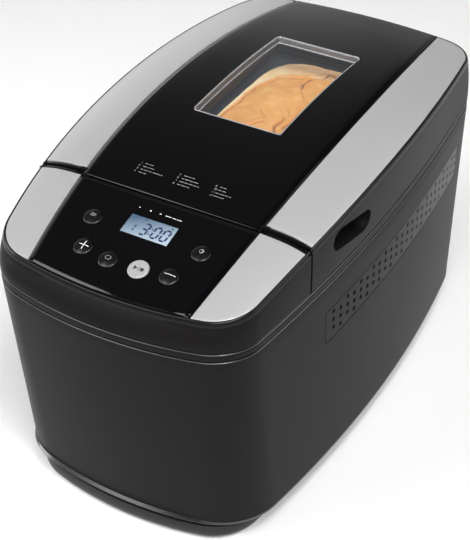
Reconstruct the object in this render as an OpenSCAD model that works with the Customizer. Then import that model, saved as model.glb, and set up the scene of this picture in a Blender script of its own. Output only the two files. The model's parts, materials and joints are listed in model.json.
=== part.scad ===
// Bread machine with a long two-paddle pan, a rear-hinged lid with a window,
// and a control panel at the front. Millimetres, +Z up, front at -Y,
// origin in the middle of the footprint on the surface it stands on.

/* [Body] */
// Half width of the body shell at its foot, at the widest point
body_hw = 115; // [112:0.5:118]
// Half width of the body shell at the groove under the lid
groove_hw = 113; // [111:0.5:115]
// Half length of the machine, front and back
body_hl = 205.8; // [203:0.1:208]
// Height of the groove between body shell and upper housing
groove_z = 182.3; // [180:0.1:184]
// Wall thickness of the plastic shells
wall = 2.5; // [2:0.1:3]
// Vent hole radius
vent_r = 1.85; // [1:0.05:2]
// Columns of vent holes on each side
vent_cols = 24; // [12:1:24]

/* [Lid] */
// Height of the lid's centre line above the table at mid length
top_z = 242.6; // [240:0.2:245]
// Half width of the gloss panel at its widest
panel_hw = 75.3; // [72:0.1:78]
// Half width of the window
win_hw = 36; // [30:0.5:38]
// Front edge of the window
win_y0 = -19.5; // [-30:0.5:-15]
// Back edge of the window
win_y1 = 110.5; // [90:0.5:112]
// Height of the gloss panel above the metal strips
panel_rise = 1.1; // [0.6:0.1:1.4]

/* [Controls] */
// Radius of the small round buttons
button_r = 6.7; // [6:0.1:8]
// Radius of the start button
start_r = 7.4; // [7:0.1:8.6]
// Gap around each button
button_gap = 0.35; // [0.25:0.05:0.5]

/* [Baking] */
// Half width of the pan's mouth
pan_hx = 62; // [58:0.5:64]
// Half length of the pan's mouth
pan_hy = 105; // [98:0.5:107]
// Height of the pan's rim above the table
pan_rim_z = 178; // [172:0.5:178]
// Radius of the heating element's tube
element_r = 3.2; // [2.5:0.1:3.5]
// Distance between the two kneading spindles
spindle_gap = 104; // [100:1:108]
// Running clearance of shafts in their bearings, on radius
run_gap = 0.05; // [0.02:0.01:0.08]

/* [Hidden] */
$fn = 40;
ys = 8.7;                      // length station of the widest point

// ---- plan outlines ----------------------------------------------------------
// A level is [half width, side bow, front y, front bow, front corner radius,
//             back y, back bow, back corner radius]; a bow is the sag in mm at 100 mm.
lv_foot   = [body_hw, 5.2, -(body_hl - 12.8), 16.7, 48, body_hl - 12.8, 16.7, 34];
lv_groove = [groove_hw, 3.9, -body_hl, 18, 39, body_hl, 18, 33];
lv_mid    = [groove_hw + 1.2, 4.6, -(body_hl - 2.6), 15, 37, body_hl - 0.8, 17, 33];
lv_lip    = [groove_hw + 2, 5.3, -(body_hl - 9.4), 12, 35, body_hl - 4.8, 16, 33];
lv_strip  = [groove_hw, 5.3, -(body_hl - 11.8), 12, 33, body_hl - 7, 16, 31];
lv_plinth = [105, 5.2, -193.6, 20, 40, 186, 18, 34];

function bow(k) = 1e4 / 2 / k;
function ang(v) = atan2(v[1], v[0]);
// Corner fillet between a side arc and an end arc, inset by d. e = -1 front, 1 back.
function corner(L, d, e) = let (
    Rs = bow(L[1]) - d, W = L[0] - d,
    E = (e < 0 ? L[2] : L[5]) - e * d, Re = bow(e < 0 ? L[3] : L[6]) - d,
    rc = (e < 0 ? L[4] : L[7]) - d,
    cs = [W - Rs, ys], ce = [0, E - e * Re], v = ce - cs, dd = norm(v),
    r1 = Rs - rc, r2 = Re - rc, a = (r1 * r1 - r2 * r2 + dd * dd) / (2 * dd),
    h = sqrt(max(0, r1 * r1 - a * a)), m = cs + v * a / dd, n = [-v[1], v[0]] / dd,
    p = m + n * h, q = m - n * h,
    cf = (p[0] * 10 + e * p[1] > q[0] * 10 + e * q[1]) ? p : q,
    ts = cs + (cf - cs) * Rs / norm(cf - cs), te = ce + (cf - ce) * Re / norm(cf - ce))
  [cs, Rs, cf, rc, ce, Re, ts, te];
function arc(c, r, a0, a1, n) = [for (i = [0:n - 1]) let (a = a0 + (a1 - a0) * i / n) c + r * [cos(a), sin(a)]];
// Right-hand path at one level, from y0 on the side to the middle of an end.
function path(L, d, e, y0, n1 = 7, n2 = 6, n3 = 4) = let (c = corner(L, d, e))
  concat(
    [for (i = [0:n1 - 1]) let (y = y0 + (c[6][1] - y0) * i / n1)
      [c[0][0] + sqrt(c[1] * c[1] - (y - ys) * (y - ys)), y]],
    arc(c[2], c[3], ang(c[6] - c[2]), ang(c[7] - c[2]), n2),
    arc(c[4], c[5], ang(c[7] - c[4]), e * 90, n3), [[0, c[4][1] + e * c[5]]]);
function rev(v) = [for (i = [len(v) - 1:-1:0]) v[i]];
function mir(v) = [for (p = v) [-p[0], p[1]]];
function cut1(v) = [for (i = [1:len(v) - 1]) v[i]];
function cut2(v) = [for (i = [1:len(v) - 2]) v[i]];
// Whole closed outline at one level, anticlockwise.
function outline(L, d, n1 = 6, n2 = 6, n3 = 4) = let (
    f = path(L, d, -1, ys, n1, n2, n3), b = path(L, d, 1, ys, n1, n2, n3))
  concat(rev(f), cut1(b), mir(cut2(concat(rev(b)))), [[-f[0][0], f[0][1]]], mir(cut2(f)));
function at_z(v, z) = [for (p = v) [p[0], p[1], z]];

// ---- top surface ------------------------------------------------------------
function crown(x) = 8.3 * pow(max(0, (abs(x) - 62) / 51.3), 3);
function zt(x, y) = let (t = (y + 1.5) / 100) top_z + 3.47 * t - 6.96 * t * t + 0.272 * t * t * t - crown(x);
function slope(y) = let (t = (y + 1.5) / 100) atan((3.47 - 13.92 * t + 0.816 * t * t) / 100);
function panel_x(y) = panel_hw - 3.26 * pow((y - ys) / 100, 2);
function side_x(L, d, y) = let (R = bow(L[1]) - d) L[0] - d - R + sqrt(R * R - (y - ys) * (y - ys));
function lift(p, d) = [p[0], p[1], zt(p[0], p[1]) - d];

// ---- solids from grids ------------------------------------------------------
function flat2(v) = [for (r = v) for (p = r) p];
function okt(P, t) = norm(P[t[0]] - P[t[1]]) > 1e-5 && norm(P[t[1]] - P[t[2]]) > 1e-5 && norm(P[t[0]] - P[t[2]]) > 1e-5;
function quad(a, b, c, d) = [[a, b, c], [a, c, d]];
// Closed solid between two grids of the same size. seam leaves the last row open,
// because both halves of that row meet in one line.
module slab(A, B, seam = false) {
  n = len(A); m = len(A[0]); P = concat(flat2(A), flat2(B)); o = n * m;
  F = [for (i = [0:n - 2]) for (j = [0:m - 2]) each quad(i * m + j, i * m + j + 1, (i + 1) * m + j + 1, (i + 1) * m + j)];
  G = [for (i = [0:n - 2]) for (j = [0:m - 2]) each quad(o + i * m + j, o + (i + 1) * m + j, o + (i + 1) * m + j + 1, o + i * m + j + 1)];
  S0 = [for (j = [0:m - 2]) each quad(j + 1, j, o + j, o + j + 1)];
  S1 = seam ? [] : [for (j = [0:m - 2]) each quad((n - 1) * m + j, (n - 1) * m + j + 1, o + (n - 1) * m + j + 1, o + (n - 1) * m + j)];
  S2 = [for (i = [0:n - 2]) each quad(i * m, (i + 1) * m, o + (i + 1) * m, o + i * m)];
  S3 = [for (i = [0:n - 2]) each quad((i + 1) * m + m - 1, i * m + m - 1, o + i * m + m - 1, o + (i + 1) * m + m - 1)];
  polyhedron(P, [for (t = concat(F, G, S0, S1, S2, S3)) if (okt(P, t)) t]);
}
// Closed solid through a stack of rings, lowest first.
module loft(R) {
  n = len(R); m = len(R[0]); P = flat2(R);
  polyhedron(P, concat([[for (j = [0:m - 1]) j]],
    [for (i = [0:n - 2]) for (j = [0:m - 1]) each quad(i * m + j, (i + 1) * m + j, (i + 1) * m + (j + 1) % m, i * m + (j + 1) % m)],
    [[for (j = [m - 1:-1:0]) (n - 1) * m + j]]));
}
function rrect(hx, hy, r, n = 5) = [for (q = [[1, -1, -90], [1, 1, 0], [-1, 1, 90], [-1, -1, 180]])
  for (i = [0:n]) [q[0] * (hx - r) + r * cos(q[2] + 90 * i / n), q[1] * (hy - r) + r * sin(q[2] + 90 * i / n)]];
module ring(L, d0, d1, z0, z1) translate([0, 0, z0]) linear_extrude(z1 - z0) difference() { polygon(outline(L, d0)); polygon(outline(L, d1)); }
module boxc(x0, x1, y0, y1, z0, z1) translate([x0, y0, z0]) cube([x1 - x0, y1 - y0, z1 - z0]);
module tube(r1, r0, h) difference() { cylinder(r = r1, h = h); translate([0, 0, -1]) cylinder(r = r0, h = h + 2); }

// ---- body -------------------------------------------------------------------
vz0 = 131; vz1 = 159; vy0 = -88; vy1 = 151;
module body_skin() difference() {
  loft([at_z(outline(lv_foot, 2.4), 17), at_z(outline(lv_foot, 0), 21), at_z(outline(lv_foot, 0), 24), at_z(outline(lv_groove, 0), groove_z)]);
  loft([at_z(outline(lv_foot, wall + 2.5), 16.8), at_z(outline(lv_foot, wall), 21), at_z(outline(lv_foot, wall), 24), at_z(outline(lv_groove, wall), groove_z + 0.1)]);
}
sx = 78; sy = 132;             // case screw positions
ftx = 58; fty = 160;           // foot positions
module outer_body() color([0.2, 0.2, 0.2]) {
  difference() {
    body_skin();
    for (s = [-1, 1]) translate([s * 110, 0, 0]) boxc(-12, 12, vy0 - 0.2, vy1 + 0.2, vz0 - 0.2, vz1 + 0.2);
    translate([0, 180, 44]) rotate([-90, 0, 0]) cylinder(r = 8, h = 30);
  }
  difference() {
    ring(lv_foot, 1.5, 23, 20, 22);
    for (p = posts) translate([p[0], p[1], 10]) cylinder(r = 6.5, h = 20);
    for (x = [-1, 1], y = [-1, 1]) translate([x * sx, y * sy, 10]) cylinder(r = 2.4, h = 20);
  }
  for (x = [-1, 1], y = [-1, 1]) translate([x * sx, y * sy, 21.5]) difference() {
    translate([x > 0 ? -5 : -17, -5, 0]) cube([22, 10, 12.5]);
    translate([0, 0, -1]) cylinder(r = 2, h = 20);
  }
}
module vent(s) intersection() {
  difference() {
    loft([at_z(outline(lv_foot, 0), 24), at_z(outline(lv_groove, 0), groove_z)]);
    loft([at_z(outline(lv_foot, wall), 23.9), at_z(outline(lv_groove, wall), groove_z + 0.1)]);
  }
  difference() {
    translate([s * 108, 0, 0]) boxc(-9, 9, vy0, vy1, vz0, vz1);
    for (i = [0:vent_cols - 1], k = [0:2]) translate([s * 108, -77.6 + 9.74 * i, 154.4 - 7.2 * k - (i % 2) * 3.6])
      rotate([0, 90, 0]) cylinder(r = vent_r, h = 30, center = true, $fn = 16);
  }
}
module vent_grille_left() color([0.24, 0.24, 0.24]) vent(-1);
module vent_grille_right() color([0.24, 0.24, 0.24]) vent(1);
posts = [[-84, -100], [84, -100], [-84, 110], [84, 110]];
module base_plinth() color([0.12, 0.12, 0.12]) {
  difference() {
    loft([at_z(outline(lv_plinth, 5), 0.9), at_z(outline(lv_plinth, 1), 3.4), at_z(outline(lv_plinth, 0), 8),
      at_z(outline(lv_plinth, 0), 13), at_z(outline(lv_plinth, 7), 14.5), at_z(outline(lv_plinth, 7), 20)]);
    translate([0, 0, 5]) linear_extrude(20) polygon(outline(lv_plinth, 9));
    for (x = [-1, 1], y = [-1, 1]) {
      translate([x * sx, y * sy, 0]) cylinder(r = 2.4, h = 20);
      translate([x * sx, y * sy, 0]) cylinder(r = 4.6, h = 3.2);
      translate([x * ftx, y * fty - 4, 0]) cylinder(r = 4, h = 8);
    }
    for (i = [-3:3]) translate([i * 12 - 2, -40, 0]) cube([4, 80, 10]);
  }
  for (x = [-1, 1], y = [-1, 1]) translate([x * sx, y * sy, 5]) tube(6, 2.4, 15);
  for (p = posts) translate([p[0], p[1], 5]) cylinder(r = 6, h = 41);
}
module rubber_feet() color([0.1, 0.1, 0.1]) for (x = [-1, 1], y = [-1, 1]) translate([x * ftx, y * fty - 4, 0]) {
  cylinder(r1 = 8, r2 = 8.6, h = 0.9);
  translate([0, 0, 0.5]) cylinder(r = 3.9, h = 6.5);
}
module case_screws() color([0.6, 0.6, 0.62]) for (x = [-1, 1], y = [-1, 1]) translate([x * sx, y * sy, 0]) difference() {
  union() { translate([0, 0, 2.2]) cylinder(r = 4.2, h = 1); translate([0, 0, 3.2]) cylinder(r = 1.98, h = 28); }
  for (a = [0, 90]) rotate(a) translate([-2.6, -0.4, 2]) cube([5.2, 0.8, 0.8]);
}

// ---- upper housing and controls ----------------------------------------------
fy = -109.3;                   // back edge of the control housing
fe = 3;                        // trims stop this far from the housing and lid edges
hz = 196; hy = 201.2;          // hinge axis
kx = [[22.5, 33.5], [-33.5, -22.5]]; // lid knuckles
function hrow(Lg, Lm, Ll, Ls, j) = let (g = Lg[j], m = Lm[j], l = Ll[j], s = Ls[j], f = [0.8, 0.6, 0.35, 0]) concat(
    [[g[0], g[1], 190], [m[0], m[1], 190 + (zt(m[0], m[1]) - 190) * 0.45], lift(l, 3), lift(l + (s - l) * 0.5, 0.5), lift(s, 0.1), lift(s, 1.7)],
    [for (k = f) lift([s[0] * k, s[1]], 1.7)]);
function hrow_in(Lg, Lm, Ll, Ls, j) = let (g = Lg[j], m = Lm[j], l = Ll[j], s = Ls[j], f = [0.8, 0.6, 0.35, 0]) concat(
    [[g[0], g[1], 190], [m[0], m[1], 190 + (zt(m[0], m[1]) - 190) * 0.4], lift(l, 6.5), lift(l + (s - l) * 0.5, 4.6), lift(s, 4.3), lift(s, 4.2)],
    [for (k = f) lift([s[0] * k, s[1]], 4.2)]);
function full(r) = concat(r, [for (i = [len(r) - 2:-1:0]) [-r[i][0], r[i][1], r[i][2]]]);
function shell_grid(e, y0, d) = let (g = path(lv_groove, d, e, y0), m = path(lv_mid, d, e, y0), l = path(lv_lip, d, e, y0),
    s = path(lv_strip, d == 0 ? 0 : 3.4, e, y0))
  [for (j = [0:len(g) - 1]) full(d == 0 ? hrow(g, m, l, s, j) : hrow_in(g, m, l, s, j))];
module shell(e, y0) if (e < 0) slab(shell_grid(e, y0, wall), shell_grid(e, y0, 0), true);
  else slab(shell_grid(e, y0, 0), shell_grid(e, y0, wall), true);
// cross-section of the shell at one length station, as a plate
module bulkhead(y0, y1, d, z0) translate([0, y1, 0]) rotate([90, 0, 0]) linear_extrude(y1 - y0) polygon(let (
    y = y0 < -110 ? y0 : y1, a = [[side_x(lv_groove, d, y), z0], [side_x(lv_mid, d, y), 190 + (zt(110, y) - 190) * 0.45],
      [side_x(lv_lip, d, y), zt(side_x(lv_lip, d, y), y) - 5], [side_x(lv_lip, d + 4, y), zt(105, y) - 4.4]],
    b = [for (x = [100, 92, 84, 74, 60]) [x, zt(x, y) - 3.6]])
  concat(a, b, [for (p = rev(concat(a, b))) [-p[0], p[1]]]));
module upper_housing() color([0.16, 0.16, 0.16]) {
  difference() {
    union() {
      ring(lv_groove, 1.2, wall + 1.2, groove_z + 0.4, 190);
      difference() {
        translate([0, 0, 186.5]) linear_extrude(3.5) polygon(outline(lv_groove, 2));
        boxc(-79, 79, -80, 170, 180, 200);
        boxc(-70, 70, -185, -118, 180, 200);
      }
      // rim that stands behind the lid's rear edge
      intersection() { ring(lv_groove, 4.6, 7.2, 189, 200.4); boxc(-120, 120, 190.8, 210, 180, 210); }
      // front overhang of the control housing on the band
      intersection() { ring(lv_groove, 0, wall + 1, 188.8, 190); boxc(-130, 130, -210, fy, 180, 200); }
    }
    for (k = kx) boxc(k[0] - 0.5, k[1] + 0.5, 195.5, 212, 189, 202);
    for (s = [0, 1]) mirror([s, 0, 0]) boxc(12.6, 43.4, 195.5, 212, 190.5, 202);
  }
  difference() {
    shell(-1, fy);
    boxc(-56, 56, -184, -119, 190, 240);
  }
  difference() {
    bulkhead(fy - 2, fy, 1.2, 189);
    boxc(-30, 30, -120, -100, 196, 206);
  }
  // fixed hinge knuckles
  for (s = [-1, 1], w = [[13, 22], [34, 43]]) {
    translate([s * (w[0] + w[1]) / 2, hy, hz]) rotate([0, 90, 0]) difference() {
      cylinder(r = 3.7, h = w[1] - w[0], center = true);
      cylinder(r = 2.5, h = 40, center = true);
    }
    difference() {
      translate([s > 0 ? w[0] : -w[1], hy - 3.7, 189]) cube([w[1] - w[0], 5.4, hz - 189]);
      translate([0, hy, hz]) rotate([0, 90, 0]) cylinder(r = 2.5, h = 200, center = true);
    }
  }
}
module hinge_pins() color([0.7, 0.7, 0.72]) for (s = [-1, 1]) translate([s * 28, hy, hz]) rotate([0, 90, 0]) cylinder(r = 2.48, h = 29, center = true);

btn = [["menu", -40.5, -143.2, 0], ["plus", -32.8, -167.1, 0], ["loaf", -11, -170.2, 0], ["start", 12.5, -169.6, 1], ["minus", 34.6, -167.4, 0], ["color", 44.6, -143.4, 0]];
module at_panel(x, y, d = 0) translate([x, y, zt(x, y) + panel_rise]) rotate([slope(y), 0, 0]) translate([0, 0, d]) children();
lcx = 1.4; lcy = -138.4;
function front_y(x) = let (p = path(lv_strip, 0.4, -1, fy, 7, 6, 6), c = corner(lv_strip, 0.4, -1)) c[4][1] - sqrt(c[5] * c[5] - x * x);
module control_fascia() color([0.05, 0.05, 0.06]) difference() {
  slab(
    [for (i = [0:12]) [for (j = [0:8]) let (u = (i / 6 - 1), x0 = u * (panel_x(-190) - 0.5), y = front_y(x0) + 0.2 + (fy - fe - front_y(x0)) * j / 8, x = u * (panel_x(y) - 0.5)) [x, y, zt(x, y) + panel_rise]]],
    [for (i = [0:12]) [for (j = [0:8]) let (u = (i / 6 - 1), x0 = u * (panel_x(-190) - 0.5), y = front_y(x0) + 0.2 + (fy - fe - front_y(x0)) * j / 8, x = u * (panel_x(y) - 0.5)) [x, y, zt(x, y) - 1.5]]]);
  for (b = btn) at_panel(b[1], b[2], -10) cylinder(r = (b[3] ? start_r : button_r) + button_gap, h = 20);
  at_panel(lcx, lcy, -10) translate([-18.6, -8.6, 0]) cube([37.2, 17.2, 20]);
}
module lcd_lens() color([0.55, 0.65, 0.8]) at_panel(lcx, lcy, -2.1) translate([-18.4, -8.4, 0]) cube([36.8, 16.8, 1.8]);
module lcd_module() color([0.3, 0.35, 0.3]) at_panel(lcx, lcy, -6.6) { translate([-22, -10, 0]) cube([44, 20, 3]); translate([-18, -8, 3]) cube([36, 16, 1.2]); }
module button(b) let (r = b[3] ? start_r : button_r) at_panel(b[1], b[2]) {
  translate([0, 0, -6]) cylinder(r = r, h = 6.6);
  translate([0, 0, -7.2]) cylinder(r = r + 1.4, h = 1.4);
  translate([0, 0, -10]) cylinder(r = 1.8, h = 3);
}
module button_menu() color([0.06, 0.06, 0.06]) button(btn[0]);
module button_plus() color([0.06, 0.06, 0.06]) button(btn[1]);
module button_loaf() color([0.06, 0.06, 0.06]) button(btn[2]);
module button_start() color([0.8, 0.8, 0.8]) button(btn[3]);
module button_minus() color([0.06, 0.06, 0.06]) button(btn[4]);
module button_color() color([0.06, 0.06, 0.06]) button(btn[5]);
module board_plane() translate([0, -156, zt(0, -156) + panel_rise]) rotate([slope(-156), 0, 0]) children();
module control_board() color([0.1, 0.35, 0.15]) board_plane() difference() {
  translate([-53, -26, -15.8]) cube([106, 52, 1.6]);
  for (x = [-48, 48], y = [-21, 21]) translate([x, y, -17]) cylinder(r = 1.6, h = 4);
}
module tact_switches() color([0.15, 0.15, 0.15]) board_plane() for (b = btn)
  translate([b[1], (b[2] + 156) / cos(slope(-156)) + (b[2] < -160 ? -0.3 : 0.3), -14.2]) { translate([-3, -3, 0]) cube([6, 6, 2]); cylinder(r = 1.5, h = 2.4); }

function strip_grid(y0, y1, n, d, dz) = [for (i = [0:n]) let (y = y0 + (y1 - y0) * i / n, a = panel_x(y) + 0.5, b = side_x(lv_strip, 0.4, y))
  [for (k = [0:5]) let (x = a + (b - a) * k / 5) [x, y, zt(x, y) - dz]]];
// Metal strip at the front: follows the rounded front corner.
function corner_x(y) = let (c = corner(lv_strip, 0.4, -1), f = y > c[6][1]) f ? side_x(lv_strip, 0.4, y)
  : y > c[7][1] ? c[2][0] + sqrt(max(0, c[3] * c[3] - pow(y - c[2][1], 2)))
  : sqrt(max(0, c[5] * c[5] - pow(y - c[4][1], 2)));
module front_strip() { t = [0, 0.12, 0.26, 0.4, 0.52, 0.62, 0.71, 0.79, 0.86, 0.92, 0.965, 0.99];
  slab([for (u = t) let (y = fy - fe + (-188.6 - fy + fe) * u, a = panel_x(y) + 0.5, b = max(a + 0.3, corner_x(y))) [for (k = [5:-1:0]) let (x = a + (b - a) * k / 5) [x, y, zt(x, y)]]],
       [for (u = t) let (y = fy - fe + (-188.6 - fy + fe) * u, a = panel_x(y) + 0.5, b = max(a + 0.3, corner_x(y))) [for (k = [5:-1:0]) let (x = a + (b - a) * k / 5) [x, y, zt(x, y) - 1.2]]]);
}
module trim_front_right() color([0.8, 0.8, 0.8]) front_strip();
module trim_front_left() color([0.8, 0.8, 0.8]) mirror([1, 0, 0]) front_strip();

// ---- lid ----------------------------------------------------------------------
ly = -107.3;                   // front face of the lid
lx = 88; l0 = -90; l1 = 178;   // inner liner
liner_z = 215.2;               // underside of the liner plate
module grip_cut(s, d) translate([s * 118, -56.5, 211.2]) rotate([-11, 0, 0]) rotate([0, -s * 90, 0]) translate([0, 0, -6]) {
  for (y = [-17.3, 17.3]) translate([0, y, 0]) cylinder(r = 8.7 + d, h = 27 + d);
  translate([-8.7 - d, -17.3, 0]) cube([17.4 + 2 * d, 34.6, 27 + d]);
}
module lid_shell() color([0.14, 0.14, 0.14]) {
  difference() {
    union() {
      shell(1, ly);
      bulkhead(ly, ly + 2.4, 1.2, 191.2);
      // grip cups
      intersection() {
        for (s = [-1, 1]) grip_cut(s, 2);
        loft([at_z(outline(lv_groove, 0.6), 190.6), at_z(outline(lv_mid, 0.6), 240)]);
      }
    }
    for (s = [-1, 1]) grip_cut(s, 0);
    boxc(-130, 130, 190, 215, 180, 200.9);
    boxc(-130, 130, -120, 215, 180, 190.6);
    boxc(-win_hw - 0.3, win_hw + 0.3, win_y0 - 0.3, win_y1 + 0.3, 200, 260);
  }
  // moving hinge knuckles
  for (k = kx) difference() {
    union() {
      translate([k[0], hy, hz]) rotate([0, 90, 0]) cylinder(r = 3.7, h = 11);
      translate([k[0], hy - 3.6, hz]) cube([11, 6.2, 12]);
    }
    translate([k[0] - 1, hy, hz]) rotate([0, 90, 0]) cylinder(r = 2.5 + run_gap, h = 13);
  }
  // bosses that carry the inner liner
  for (x = [-80, 80], y = [-70, 20, 120]) translate([x, y, liner_z + 1]) cylinder(r = 4, h = zt(x, y) - liner_z - 4.2);
}
function back_y(x) = let (c = corner(lv_strip, 0.4, 1)) c[4][1] + sqrt(c[5] * c[5] - x * x);
function panel_grid(dz, n) = [for (i = [0:n]) [for (k = [0:10]) let (u = 1 - k / 5, e = back_y(u * (panel_x(190) - 0.5)) - 0.4, y = ly + fe + (e - ly - fe) * i / n, x = u * (panel_x(y) - 0.5)) [x, y, zt(x, y) - dz]]];
function corner_b(y) = let (c = corner(lv_strip, 0.4, 1)) y < c[6][1] ? 200
  : y < c[7][1] ? c[2][0] + sqrt(max(0, c[3] * c[3] - pow(y - c[2][1], 2)))
  : sqrt(max(0, c[5] * c[5] - pow(y - c[4][1], 2)));
module under_top(d) rotate([90, 0, 90]) translate([0, 0, -60]) linear_extrude(120)
  polygon(concat([for (i = [0:20]) let (y = -40 + 170 * i / 20) [y, zt(0, y) + d]], [[130, 150], [-40, 150]]));
module lid_panel() color([0.04, 0.04, 0.05]) difference() {
  slab(panel_grid(-panel_rise, 20), panel_grid(1.5, 20));
  boxc(-win_hw - 0.3, win_hw + 0.3, win_y0 - 0.3, win_y1 + 0.3, 200, 260);
}
module back_strip() { t = [0, 0.1, 0.2, 0.3, 0.4, 0.5, 0.6, 0.68, 0.76, 0.83, 0.89, 0.935, 0.965, 0.985, 1]; ye = 193.5;
  slab([for (u = t) let (y = ly + fe + (ye - ly - fe) * u, a = panel_x(y) + 0.5, b = max(a + 0.3, min(side_x(lv_strip, 0.4, y), corner_b(y)))) [for (k = [0:5]) let (x = a + (b - a) * k / 5) [x, y, zt(x, y)]]],
       [for (u = t) let (y = ly + fe + (ye - ly - fe) * u, a = panel_x(y) + 0.5, b = max(a + 0.3, min(side_x(lv_strip, 0.4, y), corner_b(y)))) [for (k = [0:5]) let (x = a + (b - a) * k / 5) [x, y, zt(x, y) - 1.2]]]);
}
module trim_lid_right() color([0.8, 0.8, 0.8]) mirror([1, 0, 0]) mirror([1, 0, 0]) back_strip();
module trim_lid_left() color([0.8, 0.8, 0.8]) mirror([1, 0, 0]) back_strip();
// window well: a straight wall at the top that widens towards the inner glass
well_x = win_hw + 18; well_y0 = win_y0 - 7; well_y1 = win_y1 + 25;
function rect_at(x, y0, y1, z) = [[x, y0, z], [x, y1, z], [-x, y1, z], [-x, y0, z]];
function well(d, e) = [rect_at(well_x - d, well_y0 + d, well_y1 - d, liner_z + 1 - e), rect_at(well_x - d, well_y0 + d, well_y1 - d, liner_z + 5),
  rect_at(win_hw - d, win_y0 + d, win_y1 - d, 233 + e)];
module window_frame() color([0.3, 0.3, 0.32]) {
  intersection() {
    under_top(panel_rise + 0.3);
    difference() {
      boxc(-win_hw, win_hw, win_y0, win_y1, 232.8, 260);
      boxc(-win_hw + 2.5, win_hw - 2.5, win_y0 + 2.5, win_y1 - 2.5, 230, 262);
    }
  }
  difference() { loft(well(0, 0)); loft(well(2.5, 0.1)); }
}
module window_glass() color([0.7, 0.75, 0.8, 0.3]) intersection() {
  difference() { under_top(panel_rise - 0.6); under_top(panel_rise - 3); }
  boxc(-win_hw + 2.6, win_hw - 2.6, win_y0 + 2.6, win_y1 - 2.6, 200, 260);
}
module lid_liner() color([0.75, 0.75, 0.77]) difference() {
  union() {
    difference() { boxc(-lx, lx, l0, l1, 193, liner_z + 1); boxc(-lx + 1, lx - 1, l0 + 1, l1 - 1, 190, liner_z); }
    difference() {
      intersection() { translate([0, 0, 193]) linear_extrude(1.2) polygon(outline(lv_groove, 4.2)); boxc(-120, 120, ly + 2.9, 186, 190, 200); }
      boxc(-lx + 1, lx - 1, l0 + 1, l1 - 1, 190, 200);
    }
  }
  boxc(-well_x + 5.5, well_x - 5.5, well_y0 + 5.5, well_y1 - 5.5, 200, 220);
}
module inner_glass() color([0.7, 0.75, 0.8, 0.3]) boxc(-well_x + 2.8, well_x - 2.8, well_y0 + 2.8, well_y1 - 2.8, liner_z + 1, liner_z + 4);
module lid_seal() color([0.35, 0.35, 0.36]) difference() { boxc(-lx - 1.5, lx + 1.5, l0 - 1.5, l1 + 1.5, 190.4, 193); boxc(-lx + 2.5, lx - 2.5, l0 + 2.5, l1 - 2.5, 189, 194); }

// ---- baking chamber -------------------------------------------------------------
py = 45;                       // length station of the pan's middle
sp = [py - spindle_gap / 2, py + spindle_gap / 2];
module baking_chamber() color([0.7, 0.7, 0.72]) difference() {
  union() { boxc(-80, 80, -81, 171, 51, 186.4); boxc(-86, 86, -87, 177, 185.4, 186.4); }
  boxc(-79, 79, -80, 170, 52, 190);
  for (y = sp) translate([0, y, 45]) cylinder(r = 9.6, h = 10);
  for (x = [-14, 14]) translate([x, -90, 60]) rotate([-90, 0, 0]) cylinder(r = 5, h = 20);
  translate([40, -90, 110]) rotate([-90, 0, 0]) cylinder(r = 3, h = 20);
}
module pan_seat() color([0.65, 0.65, 0.67]) {
  difference() { boxc(-46, 46, py - 86, py + 86, 52, 65); boxc(-40, 40, py - 80, py + 80, 51, 70); }
  for (s = [-1, 1], t = [-1, 1]) translate([s * 45, py + t * 60, 0]) boxc(-1, 1, -12, 12, 65, 74);
  for (s = [-1, 1]) translate([0, py + s * 85, 0]) boxc(-12, 12, -1, 1, 65, 74);
}
module heating_element() color([0.3, 0.3, 0.31]) translate([0, py, 60]) {
  for (s = [-1, 1]) translate([s * 69, 92, 0]) rotate([90, 0, 0]) cylinder(r = element_r, h = 184);
  translate([-49, 112, 0]) rotate([0, 90, 0]) cylinder(r = element_r, h = 98);
  for (s = [[1, 1, 0], [-1, 1, 90], [-1, -1, 180], [1, -1, 270]]) translate([s[0] * 49, s[1] * 92, 0]) rotate(s[2]) rotate_extrude(angle = 90) translate([20, 0]) circle(r = element_r);
  for (s = [-1, 1]) {
    translate([s * 31.5, -112, 0]) rotate([0, 90, 0]) cylinder(r = element_r, h = 35, center = true);
    translate([s * 14, -112, 0]) sphere(r = element_r);
    translate([s * 14, -112, 0]) rotate([90, 0, 0]) cylinder(r = element_r, h = 30);
  }
}
module element_supports() color([0.65, 0.65, 0.67]) for (p = [[-69, 60], [69, 60], [-69, -60], [69, -60], [0, 112]]) translate([p[0], py + p[1], 52]) cylinder(r = 3, h = 8 - element_r);
module element_terminals() color([0.9, 0.88, 0.82]) for (x = [-14, 14]) translate([x, -81, 60]) rotate([90, 0, 0]) tube(7, element_r + 0.02, 9);
module temperature_sensor() color([0.6, 0.6, 0.6]) translate([40, -72, 110]) rotate([90, 0, 0]) { cylinder(r = 2.9, h = 22); translate([0, 0, 9.05]) cylinder(r = 6, h = 3, $fn = 6); }

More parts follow.
